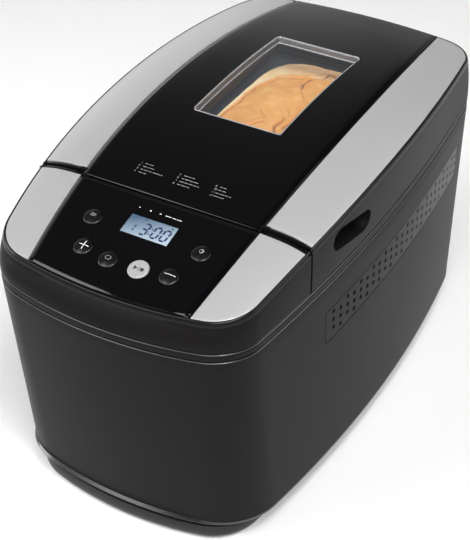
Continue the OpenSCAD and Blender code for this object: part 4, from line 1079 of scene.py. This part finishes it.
S_ = {}
S_["plus"] = bar(-3.0, 4.2, 0.45, 0.95) + [q for q in [rect(0.35, 0.85, v, v + 0.5) for v in np.arange(-3.0, 4.4, 0.5)]]
S_["minus"] = bar(-3.9, 4.5, 0.9, 1.35, 10)
S_["menu"] = sum([bar(-1.9, 1.9, v, v + 0.42) for v in (-0.1, 0.95, 2.0)], [])
S_["loaf"] = arc_band(-0.95, 1.15, 0.95, 1.3, 80, 230) + arc_band(0.95, 1.15, 0.95, 1.3, -50, 100) + bar(-1.55, 1.55, -0.75, -0.4) + bar(-0.95, 0.95, 2.08, 2.4, 3) + [rect(-1.62, -1.3, -0.75, 0.45), rect(1.3, 1.62, -0.75, 0.45)]
S_["color"] = arc_band(0, 1.1, 1.35, 1.7, 0, 360, 32) + [[(1.35 * math.cos(a), 1.1 + 1.35 * math.sin(a)) for a in np.radians(np.linspace(-90, 90, 14))]]
for nm, polys in S_.items():
    fr, zf = on_button(nm)
    decal(f"symbol_{nm}", polys, fr, zf, MAT["print_white" if nm in ("plus", "minus") else "print_grey"], f"key_{nm}")
fr, _, h0, h1 = SYMZ["start"]
decal("symbol_start", [[(-3.6, -1.5), (-3.6, 1.9), (-0.6, 0.2)]] + [rect(0.15, 0.6, -1.6, 2.0)] + [rect(1.4, 4.0, -1.1, 1.5)], fr, lambda u, v: 0.6, MAT["print_dark"], "key_start")

# display
frl = place(LCX, LCY)
V2, F2 = box_vf(-18.3, 18.3, -8.3, 8.3, -2.2, -0.35)
lens = new_obj("lcd_lens_pane", to_world(frl, V2), F2, MAT["display_lens"], None)
bevel(lens, 0.25, 3)
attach(lens, "machine")
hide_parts("lcd_lens")

SEG = {"0": "abcdef", "1": "bc", "2": "abged", "3": "abgcd", "4": "fgbc", "5": "afgcd", "6": "afgedc", "7": "abc", "8": "abcdefg", "9": "abcdfg"}


def digit(ch, u, v, w, h, t):
    """Seven-segment figure with its lower left corner at (u, v)."""
    g = t * 0.18
    P = []
    def hs(y):
        return [(u + g + t / 2, y), (u + g + t, y + t / 2), (u + w - g - t, y + t / 2), (u + w - g - t / 2, y), (u + w - g - t, y - t / 2), (u + g + t, y - t / 2)]
    def vs(x, y0, y1):
        return [(x, y0 + g), (x + t / 2, y0 + g + t / 2), (x + t / 2, y1 - g - t / 2), (x, y1 - g), (x - t / 2, y1 - g - t / 2), (x - t / 2, y0 + g + t / 2)]
    m = v + h / 2
    S = {"a": hs(v + h - t / 2), "g": hs(m), "d": hs(v + t / 2), "f": vs(u + t / 2, m, v + h - t / 2), "b": vs(u + w - t / 2, m, v + h - t / 2),
         "e": vs(u + t / 2, v + t / 2, m), "c": vs(u + w - t / 2, v + t / 2, m)}
    return [S[s] for s in SEG[ch]]


def lean(polys, k=0.12, v0=0.0):
    return [[(u + k * (v - v0), v) for u, v in P] for P in polys]


dg = digit("1", -13.6, -6.0, 4.0, 7.4, 1.15) + digit("3", -5.4, -6.5, 5.9, 11.0, 1.5)
dg += digit("0", 3.3, -6.5, 5.9, 11.0, 1.5) + digit("0", 10.3, -6.5, 5.9, 11.0, 1.5)
dg += [rect(1.35, 2.5, -4.3, -3.1), rect(1.35, 2.5, 0.3, 1.5)]
dg = lean(dg)
dg += [rect(-6.6, -4.9, 6.1, 7.0), rect(14.0, 15.7, 5.6, 6.6)]
decal("display_figures", dg, frl, lambda u, v: -0.35, MAT["lcd_ink"] if "lcd_ink" in MAT else MAT["print_dark"], "machine", lift=0.04)

# icons over the display: bare dots and ticks
fri = place(LCX, -123.9)
P = disc(-16.3, 0, 0.42) + disc(-7.6, 0, 0.62) + arc_band(0.1, 0, 0.35, 0.62, 0, 360, 14) + bar(4.4, 8.6, -0.35, 0.15, 3) + bar(9.6, 12.4, -0.45, 0.05, 3) + bar(13.2, 16.8, -0.55, -0.05, 3)
decal("display_marks", P, fri, lambda u, v: 0.0, MAT["print_white"], "machine")


# ---------------------------------------------------------------- legend: numbers 1 to 12 with bars
def top_decal(name, polys, mat, body, lift):
    """Prints on the panel's top; poly points are plan (x, y)."""
    V, F = [], []
    for P in polys:
        b = len(V)
        V += [(x, y, float(zt(x, y)) + RISE + lift) for x, y in P]
        F.append(tuple(range(b, b + len(P))))
    o = new_obj(name, V, F, mat, body, merge=0, recalc=False)
    return o


LEN = [(6.5, 9.0, 17.5, 7.5), (8.5, 13.0, 15.5, 10.0), (5.0, 7.0, 12.0, 8.0)]
polys = []
for ci, cx in enumerate((-37.8, -6.4, 22.2)):
    for ri in range(4):
        y = -87.0 - 3.05 * ri
        x = cx
        for ch in str(ci * 4 + ri + 1):
            polys += lean([[(p[0], p[1]) for p in q] for q in digit(ch, x, y, 1.1, 1.75, 0.3)], 0.1, y)
            x += 1.5
        x = cx + 3.6
        end = x + LEN[ci][ri]
        k = 0
        while x < end - 0.5:
            w = min([2.6, 3.4, 1.9, 3.0][(k + ri + ci) % 4], end - x)
            polys += [rect(a, b, y + 0.62, y + 1.12) for a, b in zip(np.linspace(x, x + w, 3)[:-1], np.linspace(x, x + w, 3)[1:])]
            x += w + 0.7
            k += 1
top_decal("program_legend", polys, MAT["print_grey"], "lid", 0.03)


# ---------------------------------------------------------------- window
def rr(hx, hy, r, n=6):
    P = []
    for sx, sy, a0 in ((1, -1, -90), (1, 1, 0), (-1, 1, 90), (-1, -1, 180)):
        for i in range(n + 1):
            t = math.radians(a0 + 90 * i / n)
            P.append((sx * (hx - r) + r * math.cos(t), sy * (hy - r) + r * math.sin(t)))
    return np.array(P)


WC, WH = (WY0 + WY1) / 2, (WY1 - WY0) / 2


def wpath(inset, r):
    """Closed rounded rectangle inside the window opening, split finely along its long sides."""
    P = rr(WX - inset, WH - inset, max(r - inset, 0.4))
    Q = []
    for i in range(len(P)):
        a, b = P[i], P[(i + 1) % len(P)]
        L = np.hypot(*(b - a))
        k = max(1, int(L / 6))
        for q in range(k):
            Q.append(a + (b - a) * q / k)
    Q = np.array(Q)
    Q[:, 1] += WC
    return Q


def wring(inset, h, r=3.2):
    P = wpath(inset, r)
    return np.column_stack([P, zt(P[:, 0], P[:, 1]) + RISE + h])


def wflat(inset, z, r=3.2):
    P = wpath(inset, r)
    return at_z(P, z)


def same(n, *rings):
    return rings


# raised clear bezel, its deep inner wall, and the tunnel below it
RW = 3.4
prof = [wring(-0.15, -1.0, RW), wring(-0.15, 0.08, RW), wring(-0.03, 0.24, RW), wring(0.18, 0.3, RW), wring(0.4, 0.24, RW), wring(0.54, 0.06, RW), wring(0.6, -0.3, RW), wring(0.75, -0.8, RW)]
V, F = ring_loft(prof, caps=(False, False))
bez = new_obj("window_bezel", V, F, MAT["bezel_clear"], "lid", sharp=60)
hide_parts("window_frame")
prof = [wring(0.75, -0.8, RW), wring(0.85, -4.6, RW)]
V, F = ring_loft(prof, caps=(False, False))
Va = np.asarray(V)
# faces on the left long side take the darker copy: painted shade
fm = [1 if Va[list(f), 0].mean() < -(WX - 1.6) else 0 for f in F]
o = new_obj("window_inner_wall", V, F, [MAT["tunnel_grey"], MAT["tunnel_painted_shade"]], "lid", sharp=60, fmat=fm)
prof = [wring(0.85, -4.5, RW), wring(0.7, -4.8, RW), wring(1.0, -5.2, RW), wring(1.5, -5.2, RW), wring(1.75, -5.5, RW), wring(1.75, -5.9, RW)]
prof = [wring(0.85, -4.5, RW), wring(1.1, -4.45, RW), wring(1.45, -4.6, RW), wring(1.65, -4.95, RW), wring(1.65, -5.5, RW)]
V, F = ring_loft(prof, caps=(False, False))
o = new_obj("window_inner_bead", V, F, MAT["bezel_clear"], "lid", sharp=60)


def flare(dx, d0, d1, z, r=3.4):
    """Rounded rectangle at half width dx and end stations d0, d1, with the same point count as wpath."""
    Q = wpath(1.65, RW)
    k = np.column_stack([Q[:, 0] * dx / (WX - 1.65), d0 + (Q[:, 1] - (WY0 + 1.65)) * (d1 - d0) / (WY1 - WY0 - 3.3)])
    return at_z(k, z)


prof = [wring(1.65, -5.4, RW), wring(1.65, -5.9, RW), flare(WX - 1.0, WY0 + 1.0, WY1 - 1.0, 232.6), flare(WX + 15.5, WY0 - 4.5, WY1 + 22.5, 220.4), flare(WX + 15.5, WY0 - 4.5, WY1 + 22.5, 217.9)]
V, F = ring_loft(prof, caps=(False, False))
o = new_obj("window_well", V, F, MAT["well_dark"], "lid", sharp=50)
# soft gasket that beds the inner glass
prof = [flare(WX + 15.4, WY0 - 4.4, WY1 + 22.4, 217.7), flare(WX + 12.8, WY0 - 1.6, WY1 + 19.8, 217.9), flare(WX + 12.4, WY0 - 1.2, WY1 + 19.4, 217.5), flare(WX + 12.2, WY0 - 1.1, WY1 + 19.3, 214.7), flare(WX + 13.6, WY0 - 2.4, WY1 + 20.6, 214.8), flare(WX + 15.0, WY0 - 4.0, WY1 + 22.0, 216.3)]
V, F = ring_loft(prof, closed_v=True)
o = new_obj("inner_glass_gasket", V, F, MAT["well_dark"], "lid", sharp=50)


def pane(name, x, y0, y1, top_fn, node, mat="clear_window"):
    ys, xs = np.linspace(y0, y1, 16), np.linspace(-x, x, 5)
    G = np.array([[(a, y, top_fn(a, y)) for a in xs] for y in ys])
    o = new_obj(name, G.reshape(-1, 3), grid_faces(16, 5), MAT[mat], "lid", sharp=60)
    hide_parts(node)
    return o


pane("window_pane", WX - 0.8, WY0 + 0.8, WY1 - 0.8, lambda x, y: float(zt(x, y)) + RISE - 0.55, "window_glass")
pane("inner_pane", WX + 12.9, WY0 - 1.7, WY1 + 19.9, lambda x, y: 217.1, "inner_glass", "inner_window")

# ---------------------------------------------------------------- hinge knuckles
def knuckle(name, x0, x1, body, up, bore):
    """Barrel on the hinge axis with the web that joins it to its housing."""
    a = np.linspace(0, 2 * math.pi, 33)[:-1]
    r = 3.7
    if up:
        pts = [(r * math.cos(t), r * math.sin(t)) for t in np.linspace(math.radians(200), math.radians(360), 20)]
        pts += [(3.4, 3.5), (2.6, 12), (-3.6, 12), (-3.7, 3)]
    else:
        pts = [(r * math.cos(t), r * math.sin(t)) for t in np.linspace(math.radians(-20), math.radians(190), 24)]
        pts += [(-3.7, -6.4), (1.6, -6.4), (2.2, -3.0)]
    rings = []
    for x, k in ((x0, 0.93), (x0 + 0.3, 1.0), (x1 - 0.3, 1.0), (x1, 0.93)):
        rings.append(np.array([(x, HY + u * k, HZ + w * k) for u, w in pts]))
    V, F = ring_loft(rings)
    o = new_obj(name, V, F, MAT["dark_plastic"], None, sharp=40)
    cut(o, helper("cut_k", *cyl_vf((0, HY, HZ), 0, bore, x0 - 2, x1 + 2, 32)), sharp=40)
    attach(o, body)


for i, (x0, x1) in enumerate(((13, 22), (34, 43), (-22, -13), (-43, -34))):
    knuckle(f"fixed_knuckle_{i + 1}", x0, x1, "machine", False, 2.5)
for i, (x0, x1) in enumerate(((22.5, 33.5), (-33.5, -22.5))):
    knuckle(f"lid_knuckle_{i + 1}", x0, x1, "lid", True, 2.56)

# rim behind the lid's rear edge
n_ = outline(GROOVE, 4.6)
m_ = outline(GROOVE, 7.0)
V, F = ring_loft([at_z(n_, 189.5), at_z(n_, 199.9), at_z(outline(GROOVE, 5.1), 200.4), at_z(outline(GROOVE, 6.5), 200.4), at_z(m_, 199.9), at_z(m_, 189.5)], closed_v=True)
rim = new_obj("rear_rim", V, F, MAT["dark_plastic"], None, sharp=30)
cut(rim, helper("cut_r1", *box_vf(-120, 120, 190.8, 210, 180, 210)), op="INTERSECT")
cut(rim, helper("cut_r2", *join_vf(box_vf(12.6, 43.4, 195.5, 212, 190.2, 202), box_vf(-43.4, -12.6, 195.5, 212, 190.2, 202))))
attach(rim, "machine")

# ---------------------------------------------------------------- loaf
LA, LB, LBF, LYC, LZ0 = 59.4, 98.0, 104.4, 55.1, 181.0


def value_noise(P, seed, scale):
    """Smooth 3-D value noise on points P (N x 3)."""
    r = np.random.default_rng(seed)
    T = r.random((32, 32, 32))
    Q = P / scale
    i = np.floor(Q).astype(int)
    f = Q - i
    f = f * f * (3 - 2 * f)
    out = 0
    for dx in (0, 1):
        for dy in (0, 1):
            for dz in (0, 1):
                w = (f[:, 0] if dx else 1 - f[:, 0]) * (f[:, 1] if dy else 1 - f[:, 1]) * (f[:, 2] if dz else 1 - f[:, 2])
                out = out + w * T[(i[:, 0] + dx) % 32, (i[:, 1] + dy) % 32, (i[:, 2] + dz) % 32]
    return out - 0.5


def seg_dist(px, py, line):
    """Distance to a polyline in plan, the position along it (0 to 1) and the side sign of the nearest part."""
    best, pos, sgn = np.full(len(px), 1e9), np.zeros(len(px)), np.ones(len(px))
    n = len(line) - 1
    for k, ((x0, y0), (x1, y1)) in enumerate(zip(line[:-1], line[1:])):
        dx, dy = x1 - x0, y1 - y0
        t = np.clip(((px - x0) * dx + (py - y0) * dy) / (dx * dx + dy * dy), 0, 1)
        d = np.hypot(px - x0 - t * dx, py - y0 - t * dy)
        m = d < best
        best = np.where(m, d, best)
        pos = np.where(m, (k + t) / n, pos)
        sgn = np.where(m, np.sign((py - y0) * dx - (px - x0) * dy), sgn)
    return best, pos, sgn


def loaf_top():
    nu, nv = 250, 380
    u, w = np.linspace(-1, 1, nu), np.linspace(-1, 1, nv)
    u, w = 0.45 * u + 0.55 * np.sin(u * math.pi / 2), 0.45 * w + 0.55 * np.sin(w * math.pi / 2)
    U, W = np.meshgrid(u, w, indexing="ij")
    au, aw = np.abs(U), np.abs(W)
    mx = np.maximum(au, aw)
    e = 5.2
    t = mx / np.maximum((au ** e + aw ** e) ** (1 / e), 1e-9)
    su, sw = au * t, aw * t
    X, Y = LA * U * t, LYC + np.where(W > 0, LB, LBF) * W * t
    q = np.clip((su ** 4.595 + sw ** 5.763) ** (2 / 10.358), 0, 1)
    q[mx > 0.9999] = 1.0
    edge = (1 - q ** 6.41) ** (1 / 2.446)
    Z = LZ0 + (21.1 + 7.2 * (1 - su ** 2.2) * (1 - 0.64 * sw ** 2.6)) * edge
    return X, Y, Z, edge


X, Y, Z, edge = loaf_top()
nu, nv = X.shape
P = np.stack([X, Y, Z], -1).reshape(-1, 3)
ef = np.clip(edge.reshape(-1) * 1.6, 0, 1)
P[:, 2] += (value_noise(P, 3, 24.0) * 1.3 + value_noise(P, 5, 9.0) * 0.75 + value_noise(P, 9, 3.4) * 0.22) * ef
A_ = [(-48, 15), (-47.2, 26), (-46.2, 37.9), (-44.3, 45.3), (-42.6, 53.2), (-42.0, 61.5), (-42.4, 70.2), (-41.2, 77.6), (-40.2, 85.5), (-38.1, 90.0), (-34.5, 93.1),
      (-33.4, 97.6), (-31.2, 101.9), (-27.0, 104.1), (-21.9, 106.4), (-16.5, 107.9), (-11.5, 110.0)]
# line, depth, width, colour strength, shoulder on the left side of the line
CRACKS = [(A_, 1.1, 1.5, 0.50, 1.3),
          ([(-14.1, 111.9), (-12.4, 117.3), (-8.8, 120.6), (-4.1, 121.9), (0.0, 126.0)], 0.7, 1.6, 0.25, 0.5),
          ([(-5.5, 92.1), (-7.2, 95.4), (-7.8, 101.6), (-7.0, 106.9), (-5.9, 111.5), (-2.9, 114.4), (1.2, 115.0), (1.9, 118.9), (2.2, 125.4), (5.6, 125.5), (10.5, 124.7), (24, 128)], 1.9, 1.25, 1.0, 0.9),
          ([(-18.6, 91.9), (-14.7, 94.4), (-10.9, 97.4)], 0.6, 0.9, 0.45, 0.0),
          ([(-27.0, 24.0), (-21.9, 27.8), (-17.7, 29.6), (-15.6, 31.9), (-13.5, 34.5), (-10.6, 37.1), (-9.1, 38.9)], 1.5, 1.1, 0.95, 0.5),
          ([(12.0, 20.0), (9.1, 25.2), (5.8, 28.1), (3.4, 31.8), (2.7, 34.6), (3.0, 38.8), (3.7, 43.9), (4.0, 47.3), (3.6, 50.4)], 2.0, 1.3, 1.0, 0.8),
          ([(8.6, 33.0), (9.1, 38.6), (9.8, 43.7), (10.8, 49.9), (10.1, 55.2), (9.8, 59.0), (10.4, 63.5)], 1.5, 1.1, 0.8, 0.6),
          ([(-20.8, 53.9), (-16.5, 49.2), (-11.9, 44.8), (-10.8, 40.5)], 0.5, 0.8, 0.35, 0.0),
          ([(-0.8, 63.5), (3.3, 57.5), (5.3, 52.1)], 0.5, 0.8, 0.3, 0.0),
          ([(-5.5, 92.1), (0.3, 84.5), (4.4, 80.0)], 0.6, 1.0, 0.35, 0.0),
          ([(22, 40), (26, 58), (24, 74), (30, 92)], 1.3, 1.2, 0.8, 0.5),
          ([(-30, -22), (-14, -14), (4, -18), (22, -8)], 1.6, 1.3, 0.8, 0.6),
          ([(-6, -6), (4, 2), (18, 4)], 1.0, 1.0, 0.6, 0.3)]
px = P[:, 0] + value_noise(P, 21, 6.0) * 1.6 + value_noise(P, 22, 2.2) * 0.8
py = P[:, 1] + value_noise(P, 23, 6.0) * 1.6 + value_noise(P, 24, 2.2) * 0.8
# dark mask along the cracks: browner crust at the splits and painted shade in the creases
crust_and_crease_shade, gold = np.zeros(len(P)), np.zeros(len(P))
for k_, (line, depth, width, strong, lift) in enumerate(CRACKS):
    d, t, sg = seg_dist(px, py, line)
    fade = np.clip(np.minimum(t, 1 - t) * 7, 0.12, 1) if k_ else np.clip(t * 8, 0, 1)
    P[:, 2] -= depth * fade * np.exp(-(d / (width * 0.6)) ** 2)
    P[:, 2] += lift * fade * np.exp(-((d - width * 1.7) / (width * 1.3)) ** 2) * np.where(sg > 0, 1.0, 0.25)
    crust_and_crease_shade = np.maximum(crust_and_crease_shade, strong * fade * np.exp(-(d / (width * 0.58)) ** 2))
    gold = np.maximum(gold, 0.9 * min(1, strong * 1.6) * fade * np.exp(-((d - width * 0.9) / (width * 1.1)) ** 2))
dA, tA, sA = seg_dist(px, py, A_)
sh = np.where((sA > 0) & (tA > 0.001), 1.0, 0.0) * np.clip((dA - 0.8) / 5.0, 0, 1)
# lighter-coloured crust on the left shoulder beyond the first crack, raised towards near white as painted light
pale_crust_and_light = sh * np.interp(tA, [0.5, 0.7, 0.97], [1.0, 0.75, 0.3])
pale_crust_and_light = np.clip(pale_crust_and_light + 0.30 * value_noise(P, 31, 9.0) * (0.4 + sh), 0, 1)
gold = np.clip(gold + 0.5 * np.clip((P[:, 0] + 6) / 40, 0, 1) + 0.35 * value_noise(P, 33, 14.0), 0, 1)
Fq = grid_faces(nu, nv)
edge_ids = [i * nv for i in range(nu)] + [(nu - 1) * nv + j for j in range(1, nv)] + [i * nv + nv - 1 for i in range(nu - 2, -1, -1)] + [j for j in range(nv - 2, 0, -1)]
nE, nP = len(edge_ids), len(P)
P[edge_ids, 2] = LZ0
for kz, kx_, kb, kf in ((179.3, 0.985, 0.952, 1.045), (172.0, 0.975, 0.945, 1.062), (140.0, 0.96, 0.925, 1.045), (108.0, 0.93, 0.90, 1.02)):
    q = P[edge_ids].copy()
    q[:, 0] *= kx_
    q[:, 1] = LYC + (q[:, 1] - LYC) * np.where(q[:, 1] > LYC, kb, kf)
    q[:, 2] = kz
    P = np.concatenate([P, q])
prev = edge_ids
for r_ in range(4):
    cur = [nP + r_ * nE + t for t in range(nE)]
    Fq += [(prev[t], cur[t], cur[(t + 1) % nE], prev[(t + 1) % nE]) for t in range(nE)]
    prev = cur
Fq.append(tuple(prev))
low = np.zeros(4 * nE)
lf = new_obj("baked_loaf", P, Fq, MAT["bread_crust"], None, sharp=180, merge=0)
for nm, arr in (("crust", np.clip(crust_and_crease_shade, 0, 1)), ("pale_crust_and_light", pale_crust_and_light), ("gold", gold)):
    at = lf.data.attributes.new(nm, "FLOAT", "POINT")
    at.data.foreach_set("value", np.concatenate([arr, low]).astype(np.float32))
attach(lf, "pan")
lf if any(m["slot"] == "bread_crust" for m in frame["record"]["materials"]) else None

# ---------------------------------------------------------------- floor, camera, light
def stage_plane():
    me = bpy.data.meshes.new("floor")
    s = 6.0
    me.from_pydata([(-s, -s, 0), (s, -s, 0), (s, s, 0), (-s, s, 0)], [], [(0, 1, 2, 3)])
    m = node_mat("floor_white", (0.86, 0.86, 0.86), 0.7, spec=0.2, noise=40, bump=0.0, mottle=0.004, big=3)
    me.materials.append(m)
    o = bpy.data.objects.new("floor", me)
    bpy.context.scene.collection.objects.link(o)


stage_plane()
cam = bpy.data.cameras.new("cam")
co = bpy.data.objects.new("cam", cam)
bpy.context.scene.collection.objects.link(co)
cam.lens, cam.sensor_width, cam.sensor_fit = 98.0923, 36.0, "AUTO"
right, up, bk = Vector((0.867794, 0.496766, -0.012540)), Vector((-0.297090, 0.538882, 0.788253)), Vector((0.398335, -0.680316, 0.615223))
M = Matrix((right, up, bk)).transposed().to_4x4()
M.translation = Vector((0.4484675, -0.7898350, 0.8046877))
co.matrix_world = M
cam.clip_start, cam.clip_end = 0.05, 50
bpy.context.scene.camera = co


def area(name, loc, target, size, power, size_y=None, spread=180):
    L = bpy.data.lights.new(name, "AREA")
    L.energy = power
    L.shape = "RECTANGLE"
    L.size, L.size_y = size, size_y or size
    L.spread = math.radians(spread)
    o = bpy.data.objects.new(name, L)
    bpy.context.scene.collection.objects.link(o)
    o.location = loc
    o.rotation_euler = (Vector(target) - Vector(loc)).to_track_quat("-Z", "Y").to_euler()
    return o


area("key_front", (0.9, -1.3, 2.1), (0, 0, 0.0), 1.7, 62, 1.7)
area("side_right", (2.2, 0.5, 0.9), (0, 0, 0.15), 1.2, 8, 1.0)
area("back_right", (1.85, 1.25, 1.6), (0, 0, 0.2), 1.1, 16, 1.1)
area("side_left", (-2.2, -0.9, 0.9), (0, 0, 0.10), 1.2, 26, 1.0)
area("front_left", (-1.02, -1.18, 2.02), (0, 0, 0.15), 1.1, 17, 1.1)
area("loaf_rim", (-0.064, 0.075, 0.2125), (-0.048, 0.075, 0.196), 0.12, 0.011, 0.008)
area("loaf_back", (-0.014, 0.158, 0.2125), (-0.014, 0.138, 0.198), 0.09, 0.010, 0.008)
area("window_fill", (0.53, -0.48, 1.64), (0.0, 0.05, 0.22), 0.3, 0.39, 0.3, spread=34)

world = bpy.data.worlds.new("studio")
bpy.context.scene.world = world
world.use_nodes = True
nt = world.node_tree
N, Lk = nt.nodes, nt.links
bg = N["Background"]
tc = N.new("ShaderNodeTexCoord")
sx = N.new("ShaderNodeSeparateXYZ")
rp = N.new("ShaderNodeValToRGB")
Lk.new(tc.outputs["Generated"], sx.inputs[0])
Lk.new(sx.outputs["Z"], rp.inputs["Fac"])
el = rp.color_ramp.elements
rp.color_ramp.interpolation = "LINEAR"
el[0].position, el[0].color = 0.0, (1, 1, 1, 1)
el[1].position, el[1].color = 1.0, (0.05, 0.05, 0.05, 1)
for p, v in ((0.156, 1.0), (0.208, 0.83), (0.276, 0.68), (0.358, 0.45), (0.438, 0.28), (0.515, 0.19), (0.574, 0.13), (0.656, 0.085), (0.766, 0.05)):
    e_ = el.new(p)
    e_.color = (v, v, v, 1)


def wmath(op, a, b=None, clamp=False):
    n = N.new("ShaderNodeMath")
    n.operation = op
    n.use_clamp = clamp
    for k, v in enumerate((a, b)):
        if v is None:
            continue
        if isinstance(v, (int, float)):
            n.inputs[k].default_value = v
        else:
            Lk.new(v, n.inputs[k])
    return n.outputs[0]


X_, Y_ = sx.outputs["X"], sx.outputs["Y"]
hor = wmath("SQRT", wmath("ADD", wmath("ADD", wmath("MULTIPLY", X_, X_), wmath("MULTIPLY", Y_, Y_)), 1e-4))
caz = wmath("DIVIDE", X_, hor)
back = wmath("DIVIDE", wmath("SUBTRACT", -0.2756, caz), 0.2544, clamp=True)
low_ = wmath("SUBTRACT", 0.34, wmath("MULTIPLY", wmath("MAXIMUM", wmath("SUBTRACT", sx.outputs["Z"], 0.22), 0.0), 0.9))
back = wmath("MAXIMUM", back, wmath("MAXIMUM", low_, 0.10))
front = wmath("ADD", wmath("MULTIPLY", Y_, -3.0), 0.5, clamp=True)
side = wmath("MULTIPLY", front, 0.55)
fac = wmath("ADD", wmath("MULTIPLY", back, wmath("SUBTRACT", 1.0, front)), side)
mm = N.new("ShaderNodeMix")
mm.data_type = "RGBA"
mm.blend_type = "MULTIPLY"
mm.inputs["Factor"].default_value = 1.0
Lk.new(rp.outputs["Color"], mm.inputs["A"])
cb = N.new("ShaderNodeCombineColor")
for k in range(3):
    Lk.new(fac, cb.inputs[k])
Lk.new(cb.outputs[0], mm.inputs["B"])
Lk.new(mm.outputs["Result"], bg.inputs["Color"])
bg.inputs["Strength"].default_value = 1.0

bpy.context.scene.view_settings.view_transform = "Standard"
bpy.context.scene.view_settings.look = "None"
